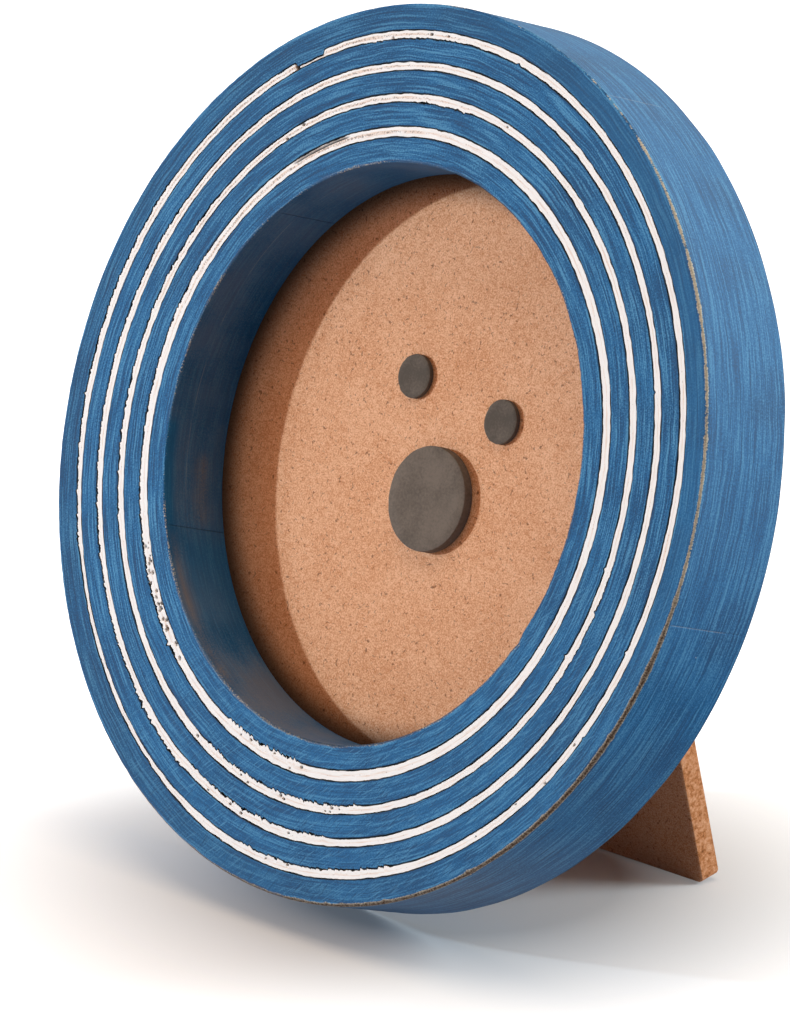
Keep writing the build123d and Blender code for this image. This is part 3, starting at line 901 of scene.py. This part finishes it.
def arris_rows(angles, rim, bare_rim, wear, thin):
    """Rows round the outer front edge, from the face to the wall."""
    browned = window(angles, *BROWN_RIM)
    rows = []
    for turn in np.linspace(90, 0, 9):
        rise = math.sin(math.radians(turn))
        radius = OUTER_RADIUS - rim * (1 - math.cos(math.radians(turn)))
        band = math.sin(math.radians(2 * turn)) if 0 < turn < 90 else 0.0
        bare = bare_rim * band ** (1.6 - 1.2 * wear)
        rows.append(row(radius, rim * (rise - 1), bare=bare, pale=thin * (1 - rise), film=browned * band))
    return rows


def wall_rows(angles, rim, seam, thin, ring):
    """Rows down the outer wall, with pale glue lines and a dent, and round its back edge, which is darkened with
    painted shade.
    """
    back_round = ring.back_arris / MM * (1 + 0.4 * wander(angles, 5, 35))
    rows = []
    for share in np.linspace(0.04, 1, 16):
        height = -rim * (1 - share) + (RING_BACK + back_round) * share
        chatter = 0.02 * np.sin(2 * math.pi * height / 1.7 + 3 * wander(angles, 14, 36))
        dent = 0.3 * bump_at(angles, DENT_ANGLE, OUTER_RADIUS, 0.8)
        dent = dent * np.exp(-(((height + DENT_DEPTH) / 0.6) ** 2))
        radius = OUTER_RADIUS - 0.02 - seam + chatter - dent
        pale = thin + np.where(seam == SEAM, 0.2, 0.0) * (share < 0.7)
        rows.append(row(radius, height, bare=2 * dent, pale=pale, muted=0.4))
    # The back edge is darkened with the edge mark: painted shade
    for turn in np.radians(np.linspace(-15, -90, 5)):
        radius = OUTER_RADIUS - back_round * (1 - math.cos(turn))
        rows.append(row(radius, RING_BACK + back_round * (1 + math.sin(turn)), bare=0.3, edge=0.5))
    return rows


def back_rows(ring):
    """Rows across the back and up the wall of the rabbet, which is bare wood."""
    rabbet = OPENING_RADIUS + ring.rabbet / MM
    shares = np.linspace(0.1, 0.95, 6)
    rows = [row(OUTER_RADIUS * (1 - share) + rabbet * share, RING_BACK) for share in shares]
    rows.append(row(rabbet + RABBET_EDGE, RING_BACK, bare=0.6))
    rows.append(row(rabbet, RING_BACK + RABBET_EDGE, bare=1.0))
    rows.append(row(rabbet, -WELL_DEPTH, bare=1.0))
    return rows


def segment_rows(angles, ring, filling):
    """Rows of a segment's skin: up the bore, over the front, down the wall and round the back."""
    rim, bare_rim, wear = worn_arris(angles, ring)
    thin = np.interp(angles % 360, THIN_ANGLES, THIN_LEVELS)
    seam = np.zeros_like(angles)
    seam[[0, -1]] = SEAM
    seam[[1, -2]] = SEAM_SIDE
    rows = bore_rows(angles, seam) + opening_rows(angles, ring)
    # Painted shade on the upper left of the face, and round its outermost band
    dull = 0.1 * window(angles, *SHADED_FACE)
    for line in range(LINE_COUNT, 0, -1):
        groove = groove_rows(line, angles, ring, filling)
        rows += band_rows(angles, rows[-1][0], groove[0][0], dull) + groove
    dull = 0.06 + 0.14 * window(angles, *SHADED_RIM)
    rows += band_rows(angles, rows[-1][0], OUTER_RADIUS - rim, dull, 0.6 * window(angles, *MUTED_RIM))
    rows += arris_rows(angles, rim, bare_rim, wear, thin)
    return rows + wall_rows(angles, rim, seam, thin, ring) + back_rows(ring)


def middle_angle(node):
    """Ring angle of the middle of a segment."""
    points = points_in(RING, node)
    angles = np.degrees(np.arctan2(points[:, 1], points[:, 0]))
    away = off_by(angles, angles[0])
    return angles[0] + (away.min() + away.max()) / 2


class AddRingSegments(bpy.types.Operator):
    """Build the five glued segments of the painted ring"""

    bl_idname = "photo_frame.ring_segments"
    bl_label = "Ring segments"

    def execute(self, context):
        ring = context.scene.photo_frame_ring
        material = shared("milk-painted turned softwood, sanded", painted_wood, ring)
        half = SEGMENT_ARC / 2
        for number in range(1, SEGMENT_COUNT + 1):
            node = f"ring_segment_{number}"
            angles = middle_angle(node) + np.linspace(-half, half, round(SEGMENT_ARC / COLUMN_STEP) + 1)
            rows = segment_rows(angles, ring, context.scene.photo_frame_filling)
            mesh = swept_mesh(f"painted_segment_{number}", angles, rows, RING_LAYERS)
            add_piece(mesh, RING, node, [material])
        return {"FINISHED"}


def pitted(line, angles, radii):
    """How deep the pits of a filling are at each of its points, from 0 to 1."""
    depth = np.zeros_like(radii)
    draw = np.random.default_rng(200 + line)
    for start, end, count in on_line(PITTED, line):
        for _ in range(count):
            angle = draw.uniform(start, end)
            place = draw.uniform(0.15, 0.85)
            size = draw.uniform(0.1, 0.24)
            pit_depth = draw.uniform(0.5, 1.0)
            column = int(np.argmin(np.abs(off_by(angles, angle))))
            near = np.arange(column - PIT_COLUMNS, column + PIT_COLUMNS + 1) % len(angles)
            centre = radii[column, 0] * (1 - place) + radii[column, -1] * place
            along = np.radians(off_by(angles[near], angle))[:, None] * centre / PIT_STRETCH
            distance = np.hypot(along, radii[near] - centre) / size
            depth[near] = np.maximum(depth[near], pit_depth * np.exp(-distance**4))
    return depth


def filling_dirt(line, angles, radii):
    """How deep and dirty a filling is at each of its points: its pits, the end of the pinch and the crack."""
    dirt = pitted(line, angles, radii)
    if line == PINCHED_LINE:
        dirt = np.maximum(dirt, bump_at(angles, PINCH_END, radii.mean(), 0.35)[:, None])
    if line == CRACKED_LINE:
        across = np.exp(-((radii - CRACK_RADIUS) / CRACK_WIDTH) ** 2)
        dirt = np.maximum(dirt, across * window(angles, CRACK_START, CRACK_END)[:, None])
    return dirt


def filling_rows(line, angles, settings):
    """Rows of a filling's skin, with how dirty it is and how near its middle."""
    inner, outer = groove_edges(line, angles, settings)
    floor = heights_of(RING, f"groove_filling_{line}")[0]
    gap = settings.side_gap / MM
    inside = inner + gap * (0.85 + 0.4 * wander(angles, 1.5, 60 + line))
    outside = outer - gap * (0.85 + 0.4 * wander(angles, 1.5, 70 + line))
    for side, start, end, depth in on_line(TORN_EDGES, line):
        torn = np.clip(wander(angles, 0.9, 80 + line + side) - 0.35, 0, 1)
        bite = depth * torn * window(angles, start, end)
        if side == INNER:
            inside = inside + bite
        else:
            outside = outside - bite
    shares = np.linspace(0, 1, FILLING_POINTS)
    radii = inside[:, None] * (1 - shares) + outside[:, None] * shares
    dirt = filling_dirt(line, angles, radii)
    low = settings.recess / MM + 0.025 * (1 + wander(angles, 2.2, 90 + line))
    top = -low[:, None] - settings.pit / MM * dirt
    middle = np.sin(np.pi * shares) ** 1.5
    stained = 0.85 + 0.3 * window(angles, *STAINED_LINES)
    shoulder = 0.08
    # The sides, in the gap beside the groove's walls, get the dirt colour: painted shade
    rows = [row(inside, floor, dirt=0.8), row(inside, top[:, 0] - shoulder, dirt=0.8)]
    for item in range(FILLING_POINTS):
        rows.append(row(radii[:, item], top[:, item], dirt=dirt[:, item], middle=stained * middle[item]))
    rows += [row(outside, top[:, -1] - shoulder, dirt=0.8), row(outside, floor, dirt=0.8)]
    return rows


class AddGrooveFillings(bpy.types.Operator):
    """Build the white lines, scraped flush, torn along their edges and pitted"""

    bl_idname = "photo_frame.groove_fillings"
    bl_label = "Groove fillings"

    def execute(self, context):
        settings = context.scene.photo_frame_filling
        material = shared("chalk wood filler, scraped", white_filler, settings)
        angles = np.arange(0, 360, COLUMN_STEP)
        for line in range(1, LINE_COUNT + 1):
            rows = filling_rows(line, angles, settings)
            mesh = swept_mesh(f"white_line_{line}", angles, rows, FILLING_LAYERS)
            add_piece(mesh, RING, f"groove_filling_{line}", [material])
        return {"FINISHED"}


# Boards and strut

# Points round the rim of a board and round a hole for a rivet
RIM_POINTS, HOLE_POINTS = 240, 32
# How much wider a hole is than what goes through it, at each side
HOLE_CLEARANCE = 0.05
# Roundness of the strut's corners
STRUT_FOOT_CORNER = 1.2
STRUT_HEAD_CORNER = 4.0


def mark_edges(mesh):
    """Gives the edges of a plate its second material."""
    for face in mesh.polygons:
        face.material_index = int(abs(face.normal.z) < 0.5)


def rivet_places(place, node):
    """Middles of a pair of rivets in a frame: one left and one right of the middle."""
    points = points_in(place, node)
    return [middle_of(points[points[:, 0] * side > 0])[:2] for side in (-1, 1)]


def rivet_holes(place, node):
    """Outlines of the holes for a pair of rivets, just clear of their shanks."""
    points = points_in(place, node)
    left = points[points[:, 0] < 0]
    radius = radii_of(left - middle_of(left)).min() + HOLE_CLEARANCE
    return [circle(spot, radius, HOLE_POINTS) for spot in rivet_places(place, node)]


class AddBoards(bpy.types.Operator):
    """Build the display board, the steel sheet behind it and the back board"""

    bl_idname = "photo_frame.boards"
    bl_label = "Boards"

    def execute(self, context):
        board = board_materials(context.scene.photo_frame_board)
        steel = [steel_material(context.scene.photo_frame_hardware)]
        rim = circle((0, 0), BOARD_RADIUS, RIM_POINTS)[::-1]
        for node, holes, edge, slot, materials in (
            ("display_board", [], 0.2, "mdf", board),
            ("steel_sheet", [], 0.08, "steel", steel),
            ("back_board", rivet_holes(RING, "fixed_leaf_rivets"), 0.3, "mdf", board),
        ):
            mesh = plate_mesh(f"round_{node}", [rim, *holes], *heights_of(RING, node), edge)
            mark_edges(mesh)
            # Only the display board gets the painted shade in the corner of its well
            if node == "display_board":
                add_layer(mesh, "soiled", np.ones(len(mesh.vertices)))
            even_normals(add_piece(mesh, RING, node, materials))
        return {"FINISHED"}


def strut_slope(points):
    """How much half the strut narrows for each millimetre upwards, from its right edge."""
    right = points[points[:, 0] > 0]
    foot = right[right[:, 1].argmin()]
    rim = right[right[:, 1] > foot[1] + 1]
    low_edge = points[:, 0].max()
    slopes = (low_edge - rim[:, 0]) / (rim[:, 1] - foot[1])
    return slopes[slopes > 0].min()


class AddStrut(bpy.types.Operator):
    """Build the folding strut, cut from fibreboard with rounded edges"""

    bl_idname = "photo_frame.strut"
    bl_label = "Strut"

    def execute(self, context):
        looks = context.scene.photo_frame_board
        points = points_in(STRUT, "strut")
        foot, head = points[:, 1].min(), points[:, 1].max()
        foot_half = points[:, 0].max()
        head_half = foot_half - strut_slope(points) * (head - foot)
        outline = rounded([
            (-foot_half, foot, STRUT_FOOT_CORNER), (foot_half, foot, STRUT_FOOT_CORNER),
            (head_half, head, STRUT_HEAD_CORNER), (-head_half, head, STRUT_HEAD_CORNER),
        ])
        outlines = [outline, *rivet_holes(STRUT, "strut_rivets")]
        mesh = plate_mesh("mdf_strut", outlines, *heights_of(STRUT, "strut"), looks.strut_edge / MM)
        mark_edges(mesh)
        piece = add_piece(mesh, STRUT, "strut", board_materials(looks))
        # Index 1 gives the strut's faces the painted shade of their material
        piece.pass_index = 1
        even_normals(piece)
        return {"FINISHED"}


# Hinge and rivets

# Five knuckles, of which each leaf has every second one, rolled round the pin
KNUCKLE_COUNT = 5
KNUCKLE_RADIUS = 1.4
KNUCKLE_GAP = 0.2
LEAF_THICKNESS = 0.8
LEAF_CORNER = 2.0
# Height of a leaf's plate under its own knuckles, and where a knuckle's sheet leaves it and comes back
LEAF_TOP = -0.2
KNUCKLE_ROOT, KNUCKLE_OUTER_FOOT, KNUCKLE_INNER_FOOT = -1.9, -0.5, -0.9
# Angles at which the curl of a knuckle starts outside, ends, and comes back inside
CURL_START, CURL_END, CURL_INSIDE = -85, 213, -90
CURL_POINTS = 28
PIN_RADIUS = 0.7
PIN_CLEARANCE = 0.04
PIN_HEAD_RADIUS = 1.2
PIN_HEAD_LENGTH = 0.6
RIVET_RADIUS = 1.3
RIVET_HEAD_RADIUS = 2.6
RIVET_HEAD_HEIGHT = 1.0
RIVET_TAIL_RADIUS = 2.2
RIVET_TAIL_HEIGHT = 0.7


def dome(radius, seat, height):
    """Profile of a dome, from its rim at the seat to its top, which is lower by its height."""
    turns = np.radians(np.linspace(0, 90, 9))
    return [(radius * math.cos(turn), seat - height * math.sin(turn)) for turn in turns]


def add_knuckle(shape, left, right, bottom, top):
    """Adds a knuckle: sheet that leaves the plate, curls round the pin and comes back to the plate."""
    section = [(KNUCKLE_ROOT, bottom), (KNUCKLE_OUTER_FOOT, bottom)]
    section += arc((0, 0), KNUCKLE_RADIUS, CURL_START, CURL_END, CURL_POINTS)
    section += arc((0, 0), PIN_RADIUS + PIN_CLEARANCE, CURL_END, CURL_INSIDE, CURL_POINTS)
    section += [(KNUCKLE_INNER_FOOT, top), (KNUCKLE_ROOT, top)]
    count = len(section)
    points = [(x, y, z) for x in (left, right) for y, z in section]
    faces = grid_faces(2, count, False, True)
    faces += [list(range(count))[::-1], list(range(count, 2 * count))]
    add_faces(shape, points, faces)


def leaf_mesh(node, place, rivet_node, first, edge):
    """Mesh of a hinge leaf that hangs from the pin: a plate with notches, and its rolled knuckles."""
    points = points_in(place, node)
    half, drop = points[:, 0].max(), points[:, 1].min()
    bottom = points[:, 2].min()
    top = bottom + LEAF_THICKNESS
    pitch = 2 * half / KNUCKLE_COUNT
    corners = [(-half, drop, LEAF_CORNER), (half, drop, LEAF_CORNER)]
    for index in reversed(range(KNUCKLE_COUNT)):
        right, left = (index + 1) * pitch - half, index * pitch - half
        own = index % 2 == first
        height = LEAF_TOP if own else -KNUCKLE_RADIUS - KNUCKLE_GAP
        inset = KNUCKLE_GAP / 2 if own else -KNUCKLE_GAP / 2
        corners.append((min(right - inset, half), height, 0))
        corners.append((max(left + inset, -half), height, 0))
    outlines = [rounded(corners), *rivet_holes(place, rivet_node)]
    plate = plate_mesh(f"rolled_{node}", outlines, bottom, top, edge)
    shape = bmesh.new()
    shape.from_mesh(plate)
    bpy.data.meshes.remove(plate)
    for index in range(first, KNUCKLE_COUNT, 2):
        left = index * pitch - half + KNUCKLE_GAP / 2
        add_knuckle(shape, left, left + pitch - KNUCKLE_GAP, bottom, top)
    return shape_mesh(f"rolled_{node}", shape)


def pin_profile(half):
    """Profile of the hinge pin, with a peened head at each end."""
    head = [(0, half), (0.7, half - 0.05), (1.05, half - 0.2), (PIN_HEAD_RADIUS, half - PIN_HEAD_LENGTH)]
    head.append((PIN_RADIUS, half - PIN_HEAD_LENGTH))
    return head + [(radius, -height) for radius, height in reversed(head)]


def rivet_profile(bottom, top):
    """Profile of a rivet: flattened tail in front, shank, and a domed head behind."""
    tail = [(0, top), (1.4, top), (1.9, top - 0.1), (RIVET_TAIL_RADIUS, top - 0.35)]
    tail += [(RIVET_TAIL_RADIUS - 0.1, top - RIVET_TAIL_HEIGHT), (RIVET_RADIUS, top - RIVET_TAIL_HEIGHT)]
    seat = bottom + RIVET_HEAD_HEIGHT
    return [*tail, (RIVET_RADIUS, seat), *dome(RIVET_HEAD_RADIUS, seat, RIVET_HEAD_HEIGHT)]


class AddHinge(bpy.types.Operator):
    """Build both leaves of the hinge, with knuckles rolled from their sheet, and its pin"""

    bl_idname = "photo_frame.hinge"
    bl_label = "Hinge"

    def execute(self, context):
        hardware = context.scene.photo_frame_hardware
        material = steel_material(hardware)
        for node, place, rivet_node, first in (
            ("hinge_fixed_leaf", FIXED_LEAF, "fixed_leaf_rivets", 0),
            ("hinge_moving_leaf", STRUT, "strut_rivets", 1),
        ):
            mesh = leaf_mesh(node, place, rivet_node, first, hardware.edge / MM)
            even_normals(add_piece(mesh, place, node, [material]))
        shape = bmesh.new()
        half = points_in(STRUT, "hinge_pin")[:, 0].max()
        turned(shape, pin_profile(half), count=32)
        mesh = shape_mesh("rolled_hinge_pin", shape)
        mesh.transform(Matrix.Rotation(math.pi / 2, 4, "Y"))
        add_piece(mesh, STRUT, "hinge_pin", [material])
        return {"FINISHED"}


class AddRivets(bpy.types.Operator):
    """Build the rivets of both hinge leaves, with domed heads and flattened tails"""

    bl_idname = "photo_frame.rivets"
    bl_label = "Rivets"

    def execute(self, context):
        material = steel_material(context.scene.photo_frame_hardware)
        for node, place in (("fixed_leaf_rivets", RING), ("strut_rivets", STRUT)):
            shape = bmesh.new()
            for x, y in rivet_places(place, node):
                turned(shape, rivet_profile(*heights_of(place, node)), (x, y, 0), 48)
            mesh = shape_mesh(f"domed_{node}", shape)
            add_piece(mesh, place, node, [material])
        return {"FINISHED"}


# Turn buttons and their screws

SCREW_RADIUS = 1.3
SCREW_HEAD_RADIUS = 2.8
SCREW_HEAD_HEIGHT = 1.5
# Radius of the blunt tip of a screw, and where its point widens to that and to the shank
SCREW_TIP_RADIUS, SCREW_TIP_LENGTH, SCREW_POINT_LENGTH = 0.4, 0.8, 2.6
# The slots stand as they came when the screws were driven: each is turned on by this angle
SLOT_TURN = 40


def pivot_place(number):
    """Frame of a turn button: its screw's axis is z and the rim of the ring is along x."""
    pivot = RING.inverted() @ Vector(JOINTS[f"button_{number}_turn"]["pos_m"])
    turn = Matrix.Rotation(math.atan2(pivot.y, pivot.x), 4, "Z")
    return RING @ Matrix.Translation((pivot.x, pivot.y, 0)) @ turn


class AddTurnButtons(bpy.types.Operator):
    """Build the four oblong turn buttons, stamped from sheet"""

    bl_idname = "photo_frame.turn_buttons"
    bl_label = "Turn buttons"

    def execute(self, context):
        hardware = context.scene.photo_frame_hardware
        material = steel_material(hardware)
        for number in range(1, BUTTON_COUNT + 1):
            node = f"turn_button_{number}"
            pivot = pivot_place(number)
            reach = points_in(pivot, node)[:, 0]
            half_width = reach.max()
            outline = arc((0, 0), half_width, -90, 90, 24)
            outline += arc((reach.min() + half_width, 0), half_width, 90, 270, 24)
            outlines = [outline, circle((0, 0), SCREW_RADIUS + HOLE_CLEARANCE, 48)]
            mesh = plate_mesh(f"stamped_{node}", outlines, *heights_of(pivot, node), hardware.edge / MM)
            even_normals(add_piece(mesh, pivot, node, [material]))
        return {"FINISHED"}


def past_slot(point, angle, half_slot):
    """Moves a point of half a dome away from the slot, keeping the dome's rim where it is."""
    turn = math.radians(angle)
    along = point[0] * math.cos(turn) + point[1] * math.sin(turn)
    across = -point[0] * math.sin(turn) + point[1] * math.cos(turn)
    across = half_slot + across * (1 - half_slot / SCREW_HEAD_RADIUS)
    along = along * math.sqrt(max(0.0, 1 - (half_slot / SCREW_HEAD_RADIUS) ** 2))
    return (
        along * math.cos(turn) - across * math.sin(turn),
        along * math.sin(turn) + across * math.cos(turn),
        point[2],
    )


def add_screw(shape, place, back, tip, slot_angle, hardware):
    """Adds a screw: a shank with a point, and a head whose dome is parted by the slot."""
    seat = back + SCREW_HEAD_HEIGHT
    slot_floor = back + hardware.slot_depth / MM
    half_slot = hardware.slot_width / MM / 2
    centre = (*place, 0)
    body = [(0, tip), (SCREW_TIP_RADIUS, tip - SCREW_TIP_LENGTH), (SCREW_RADIUS, tip - SCREW_POINT_LENGTH)]
    body += [(SCREW_RADIUS, seat), (SCREW_HEAD_RADIUS, seat)]
    body += [(SCREW_HEAD_RADIUS, slot_floor), (0, slot_floor)]
    turned(shape, body, centre, 48)
    half_dome = [(0, slot_floor), *dome(SCREW_HEAD_RADIUS, slot_floor, slot_floor - back)]
    for start in (slot_angle, slot_angle + 180):
        turned(shape, half_dome, centre, 33, start, start + 180,
               squeeze=lambda point, start=start: past_slot(point, start, half_slot))


class AddButtonScrews(bpy.types.Operator):
    """Build the slotted round-headed screws that the turn buttons swing on"""

    bl_idname = "photo_frame.button_screws"
    bl_label = "Turn button screws"

    def execute(self, context):
        hardware = context.scene.photo_frame_hardware
        back, tip = heights_of(RING, "turn_button_screws")
        shape = bmesh.new()
        for number in range(1, BUTTON_COUNT + 1):
            pivot = RING.inverted() @ pivot_place(number).translation / MM
            add_screw(shape, (pivot.x, pivot.y), back, tip, SLOT_TURN * number, hardware)
        mesh = shape_mesh("slotted_screws", shape)
        brass = shared("brass, turned", turned_brass, hardware)
        add_piece(mesh, RING, "turn_button_screws", [brass])
        return {"FINISHED"}


# Magnets

# Step round a magnet, radius of the pin-hole at its middle and chamfer of its underside
MAGNET_STEP, MAGNET_MIDDLE, MAGNET_FOOT = 1.5, 0.02, 0.12


def magnet_rows(angles, radius, top, edge, seed):
    """Rows of a magnet's skin: face, chipped chamfer, side and underside."""
    chips = 0.9 * np.clip(wander(angles, 20, 310 + seed) - 0.5, 0, 1)
    edge = edge * (1 + 0.35 * wander(angles, 9, 300 + seed) + chips)
    section = [
        (MAGNET_MIDDLE, 0.0), (radius * 0.6, 0.0), (radius - MAGNET_FOOT, 0.0), (radius, MAGNET_FOOT),
        (radius, top - 1.2 * edge), (radius - 0.25 * edge, top - 0.5 * edge), (radius - edge, top - 0.06),
        (radius - 1.6 * edge, top), (radius * 0.75, top), (radius * 0.4, top), (MAGNET_MIDDLE, top),
    ]
    return [row(*point) for point in reversed(section)]


class AddMagnets(bpy.types.Operator):
    """Build the disc magnets on the board, with chipped edges"""

    bl_idname = "photo_frame.magnets"
    bl_label = "Magnets"

    def execute(self, context):
        settings = context.scene.photo_frame_magnet
        material = shared("ferrite, pressed and sintered", sintered_ferrite, settings)
        angles = np.arange(0, 360, MAGNET_STEP)
        for seed, node in enumerate(("large_magnet", "small_magnet_1", "small_magnet_2")):
            points = points_in(BOARD, node)
            middle = middle_of(points)
            radius = radii_of(points - middle).max()
            rows = magnet_rows(angles, radius, points[:, 2].max(), settings.edge / MM, seed)
            mesh = swept_mesh(f"ferrite_{node}", angles, rows, ())
            piece = add_piece(mesh, shifted(BOARD, middle[0], middle[1]), node, [material])
            piece.pass_index = int(node.startswith("small"))
        return {"FINISHED"}


# Stage, in metres

TABLE_HALF = 3.0
# The table lies this far below the object, so that their faces don't coincide
TABLE_DROP = 0.0002
# Glow of the table in the camera's view: none by the object, to keep its shadow, and white further out, so the
# table is darker round the object: a painted shadow
GLOW_MIDDLE = (0.004, 0.004, 0.0)
GLOW_REACH = (0.028, 0.104)
# Lamps: name, direction to it, distance and width, share of full light, and whose colour it has
LAMPS = (
    ("key_left_1", (-0.715, -0.675, 0.186), 1.6, 0.05, 0.77, "key"),
    ("key_left_2", (-0.783, -0.602, 0.166), 1.6, 0.05, 0.08, "key"),
    ("key_soft", (-0.6, -0.75, 0.28), 1.5, 1.0, 0.2, "fill"),
    ("top_soft", (0.1, 0.05, 0.99), 1.1, 1.1, 0.8, "top"),
    ("front_fill", (0.1, -0.75, 0.65), 1.2, 0.8, 0.05, "fill"),
    ("right_soft", (0.62, 0.66, 0.42), 1.2, 0.6, 0.95, "side"),
)
SKY_LIGHT = 0.05
WHITE = (1, 1, 1)
# Height of the camera's picture, in millimetres
PICTURE_HEIGHT = 36


def seen_rays(tree):
    """1 for rays from the camera, also by way of a mirror or glass, and 0 for rays that light things."""
    path = add(tree, "LightPath")
    seen = path.outputs["Is Camera Ray"]
    for kind in ("Is Glossy Ray", "Is Transmission Ray"):
        seen = add(tree, "Math", (seen, path.outputs[kind]), operation="MAXIMUM")
    return seen


def white_laminate(stage):
    """Matt white laminate: keeps the shadow of the object, and glows for the camera away from it to look white, so
    it is darker round the object: a painted shadow.
    """
    material = bpy.data.materials.new("white laminate, matt")
    material.use_nodes = True
    tree = material.node_tree
    seen = seen_rays(tree)
    white = add(tree, "MixRGB", (seen, stage.bounce, stage.floor))
    place = add(tree, "TexCoord").outputs["Object"]
    away = add(tree, "VectorMath", (place, GLOW_MIDDLE), operation="DISTANCE")
    glow = add(tree, "MapRange", (away, *GLOW_REACH))
    glow = add(tree, "Math", (seen, glow), operation="MULTIPLY")
    feed(tree, tree.nodes["Principled BSDF"], {
        "Base Color": white, "Roughness": 1.0, "Specular IOR Level": 0.0,
        "Emission Color": WHITE, "Emission Strength": glow,
    })
    return material


def add_floor(stage):
    """White table under the object."""
    mesh = bpy.data.meshes.new("table")
    ways = ((-1, -1), (1, -1), (1, 1), (-1, 1))
    mesh.from_pydata([(x * TABLE_HALF, y * TABLE_HALF, -TABLE_DROP) for x, y in ways], [], [(0, 1, 2, 3)])
    floor = bpy.data.objects.new("table", mesh)
    bpy.context.scene.collection.objects.link(floor)
    mesh.materials.append(white_laminate(stage))


def add_lamps(stage):
    """Area lamps that face the middle of the ring. At a share of 1 a facing surface is as bright as its
    colour."""
    middle = BOARD.translation
    for name, way, distance, width, share, hue in LAMPS:
        light = bpy.data.lights.new(name, "AREA")
        light.shape = "DISK"
        light.size = width
        light.energy = share * (math.pi * distance) ** 2
        light.color = getattr(stage, hue)
        lamp = bpy.data.objects.new(name, light)
        direction = Vector(way).normalized()
        lamp.location = middle + direction * distance
        lamp.rotation_euler = direction.to_track_quat("Z", "Y").to_euler()
        bpy.context.scene.collection.objects.link(lamp)


def add_world(scene, stage):
    """Warm light from all round the room, behind a white background."""
    world = bpy.data.worlds.new("studio")
    world.use_nodes = True
    tree = world.node_tree
    seen = seen_rays(tree)
    strength = add(tree, "MapRange", {"Value": seen, "To Min": SKY_LIGHT, "To Max": 1.0})
    hue = add(tree, "MixRGB", (seen, stage.fill, WHITE))
    feed(tree, tree.nodes["Background"], {"Color": hue, "Strength": strength})
    scene.world = world


def add_camera(scene, stage):
    """Camera at the photograph's angle."""
    data = bpy.data.cameras.new("camera")
    data.sensor_width = PICTURE_HEIGHT
    data.lens = stage.lens
    azimuth, elevation = stage.azimuth, stage.elevation
    right = Vector((math.cos(azimuth), math.sin(azimuth), 0))
    level = math.cos(elevation)
    forward = Vector((-math.sin(azimuth) * level, math.cos(azimuth) * level, -math.sin(elevation)))
    up = right.cross(forward)
    camera = bpy.data.objects.new("camera", data)
    place = RING.translation + right * stage.aim_right + up * stage.aim_up - forward * stage.distance
    camera.matrix_world = placed(place, up, -forward)
    scene.collection.objects.link(camera)
    scene.camera = camera


class AddStage(bpy.types.Operator):
    """Build the white table, the lamps, the world and the camera"""

    bl_idname = "photo_frame.stage"
    bl_label = "Stage"

    def execute(self, context):
        stage = context.scene.photo_frame_stage
        add_floor(stage)
        add_lamps(stage)
        add_world(context.scene, stage)
        add_camera(context.scene, stage)
        context.scene.view_settings.view_transform = "Standard"
        return {"FINISHED"}


# The add-on

OPERATORS = (
    AddRingSegments, AddGrooveFillings, AddBoards, AddStrut, AddHinge, AddRivets, AddTurnButtons,
    AddButtonScrews, AddMagnets, AddStage,
)
SETTINGS = {
    "photo_frame_ring": RingSettings,
    "photo_frame_filling": FillingSettings,
    "photo_frame_board": BoardSettings,
    "photo_frame_hardware": HardwareSettings,
    "photo_frame_magnet": MagnetSettings,
    "photo_frame_stage": StageSettings,
}


class PhotoFramePanel(bpy.types.Panel):
    """Lists the settings and the pieces of the photo frame"""

    bl_idname = "VIEW3D_PT_photo_frame"
    bl_label = "Photo frame"
    bl_space_type = "VIEW_3D"
    bl_region_type = "UI"
    bl_category = "Photo frame"

    def draw(self, context):
        for name, group in SETTINGS.items():
            settings = getattr(context.scene, name)
            box = self.layout.box()
            box.label(text=group.__doc__)
            for item in group.__annotations__:
                box.prop(settings, item)
        for operator in OPERATORS:
            self.layout.operator(operator.bl_idname)


def register():
    """Registers the settings, the operators and the panel."""
    for name, group in SETTINGS.items():
        bpy.utils.register_class(group)
        setattr(bpy.types.Scene, name, PointerProperty(type=group))
    for made in (*OPERATORS, PhotoFramePanel):
        bpy.utils.register_class(made)


def unregister():
    """Takes the classes and the settings away again."""
    for made in (PhotoFramePanel, *reversed(OPERATORS)):
        bpy.utils.unregister_class(made)
    for name, group in SETTINGS.items():
        delattr(bpy.types.Scene, name)
        bpy.utils.unregister_class(group)


def main():
    """Registers the add-on, then builds every piece and the stage."""
    register()
    for operator in OPERATORS:
        group, name = operator.bl_idname.split(".")
        getattr(getattr(bpy.ops, group), name)()


if __name__ == "__main__":
    main()
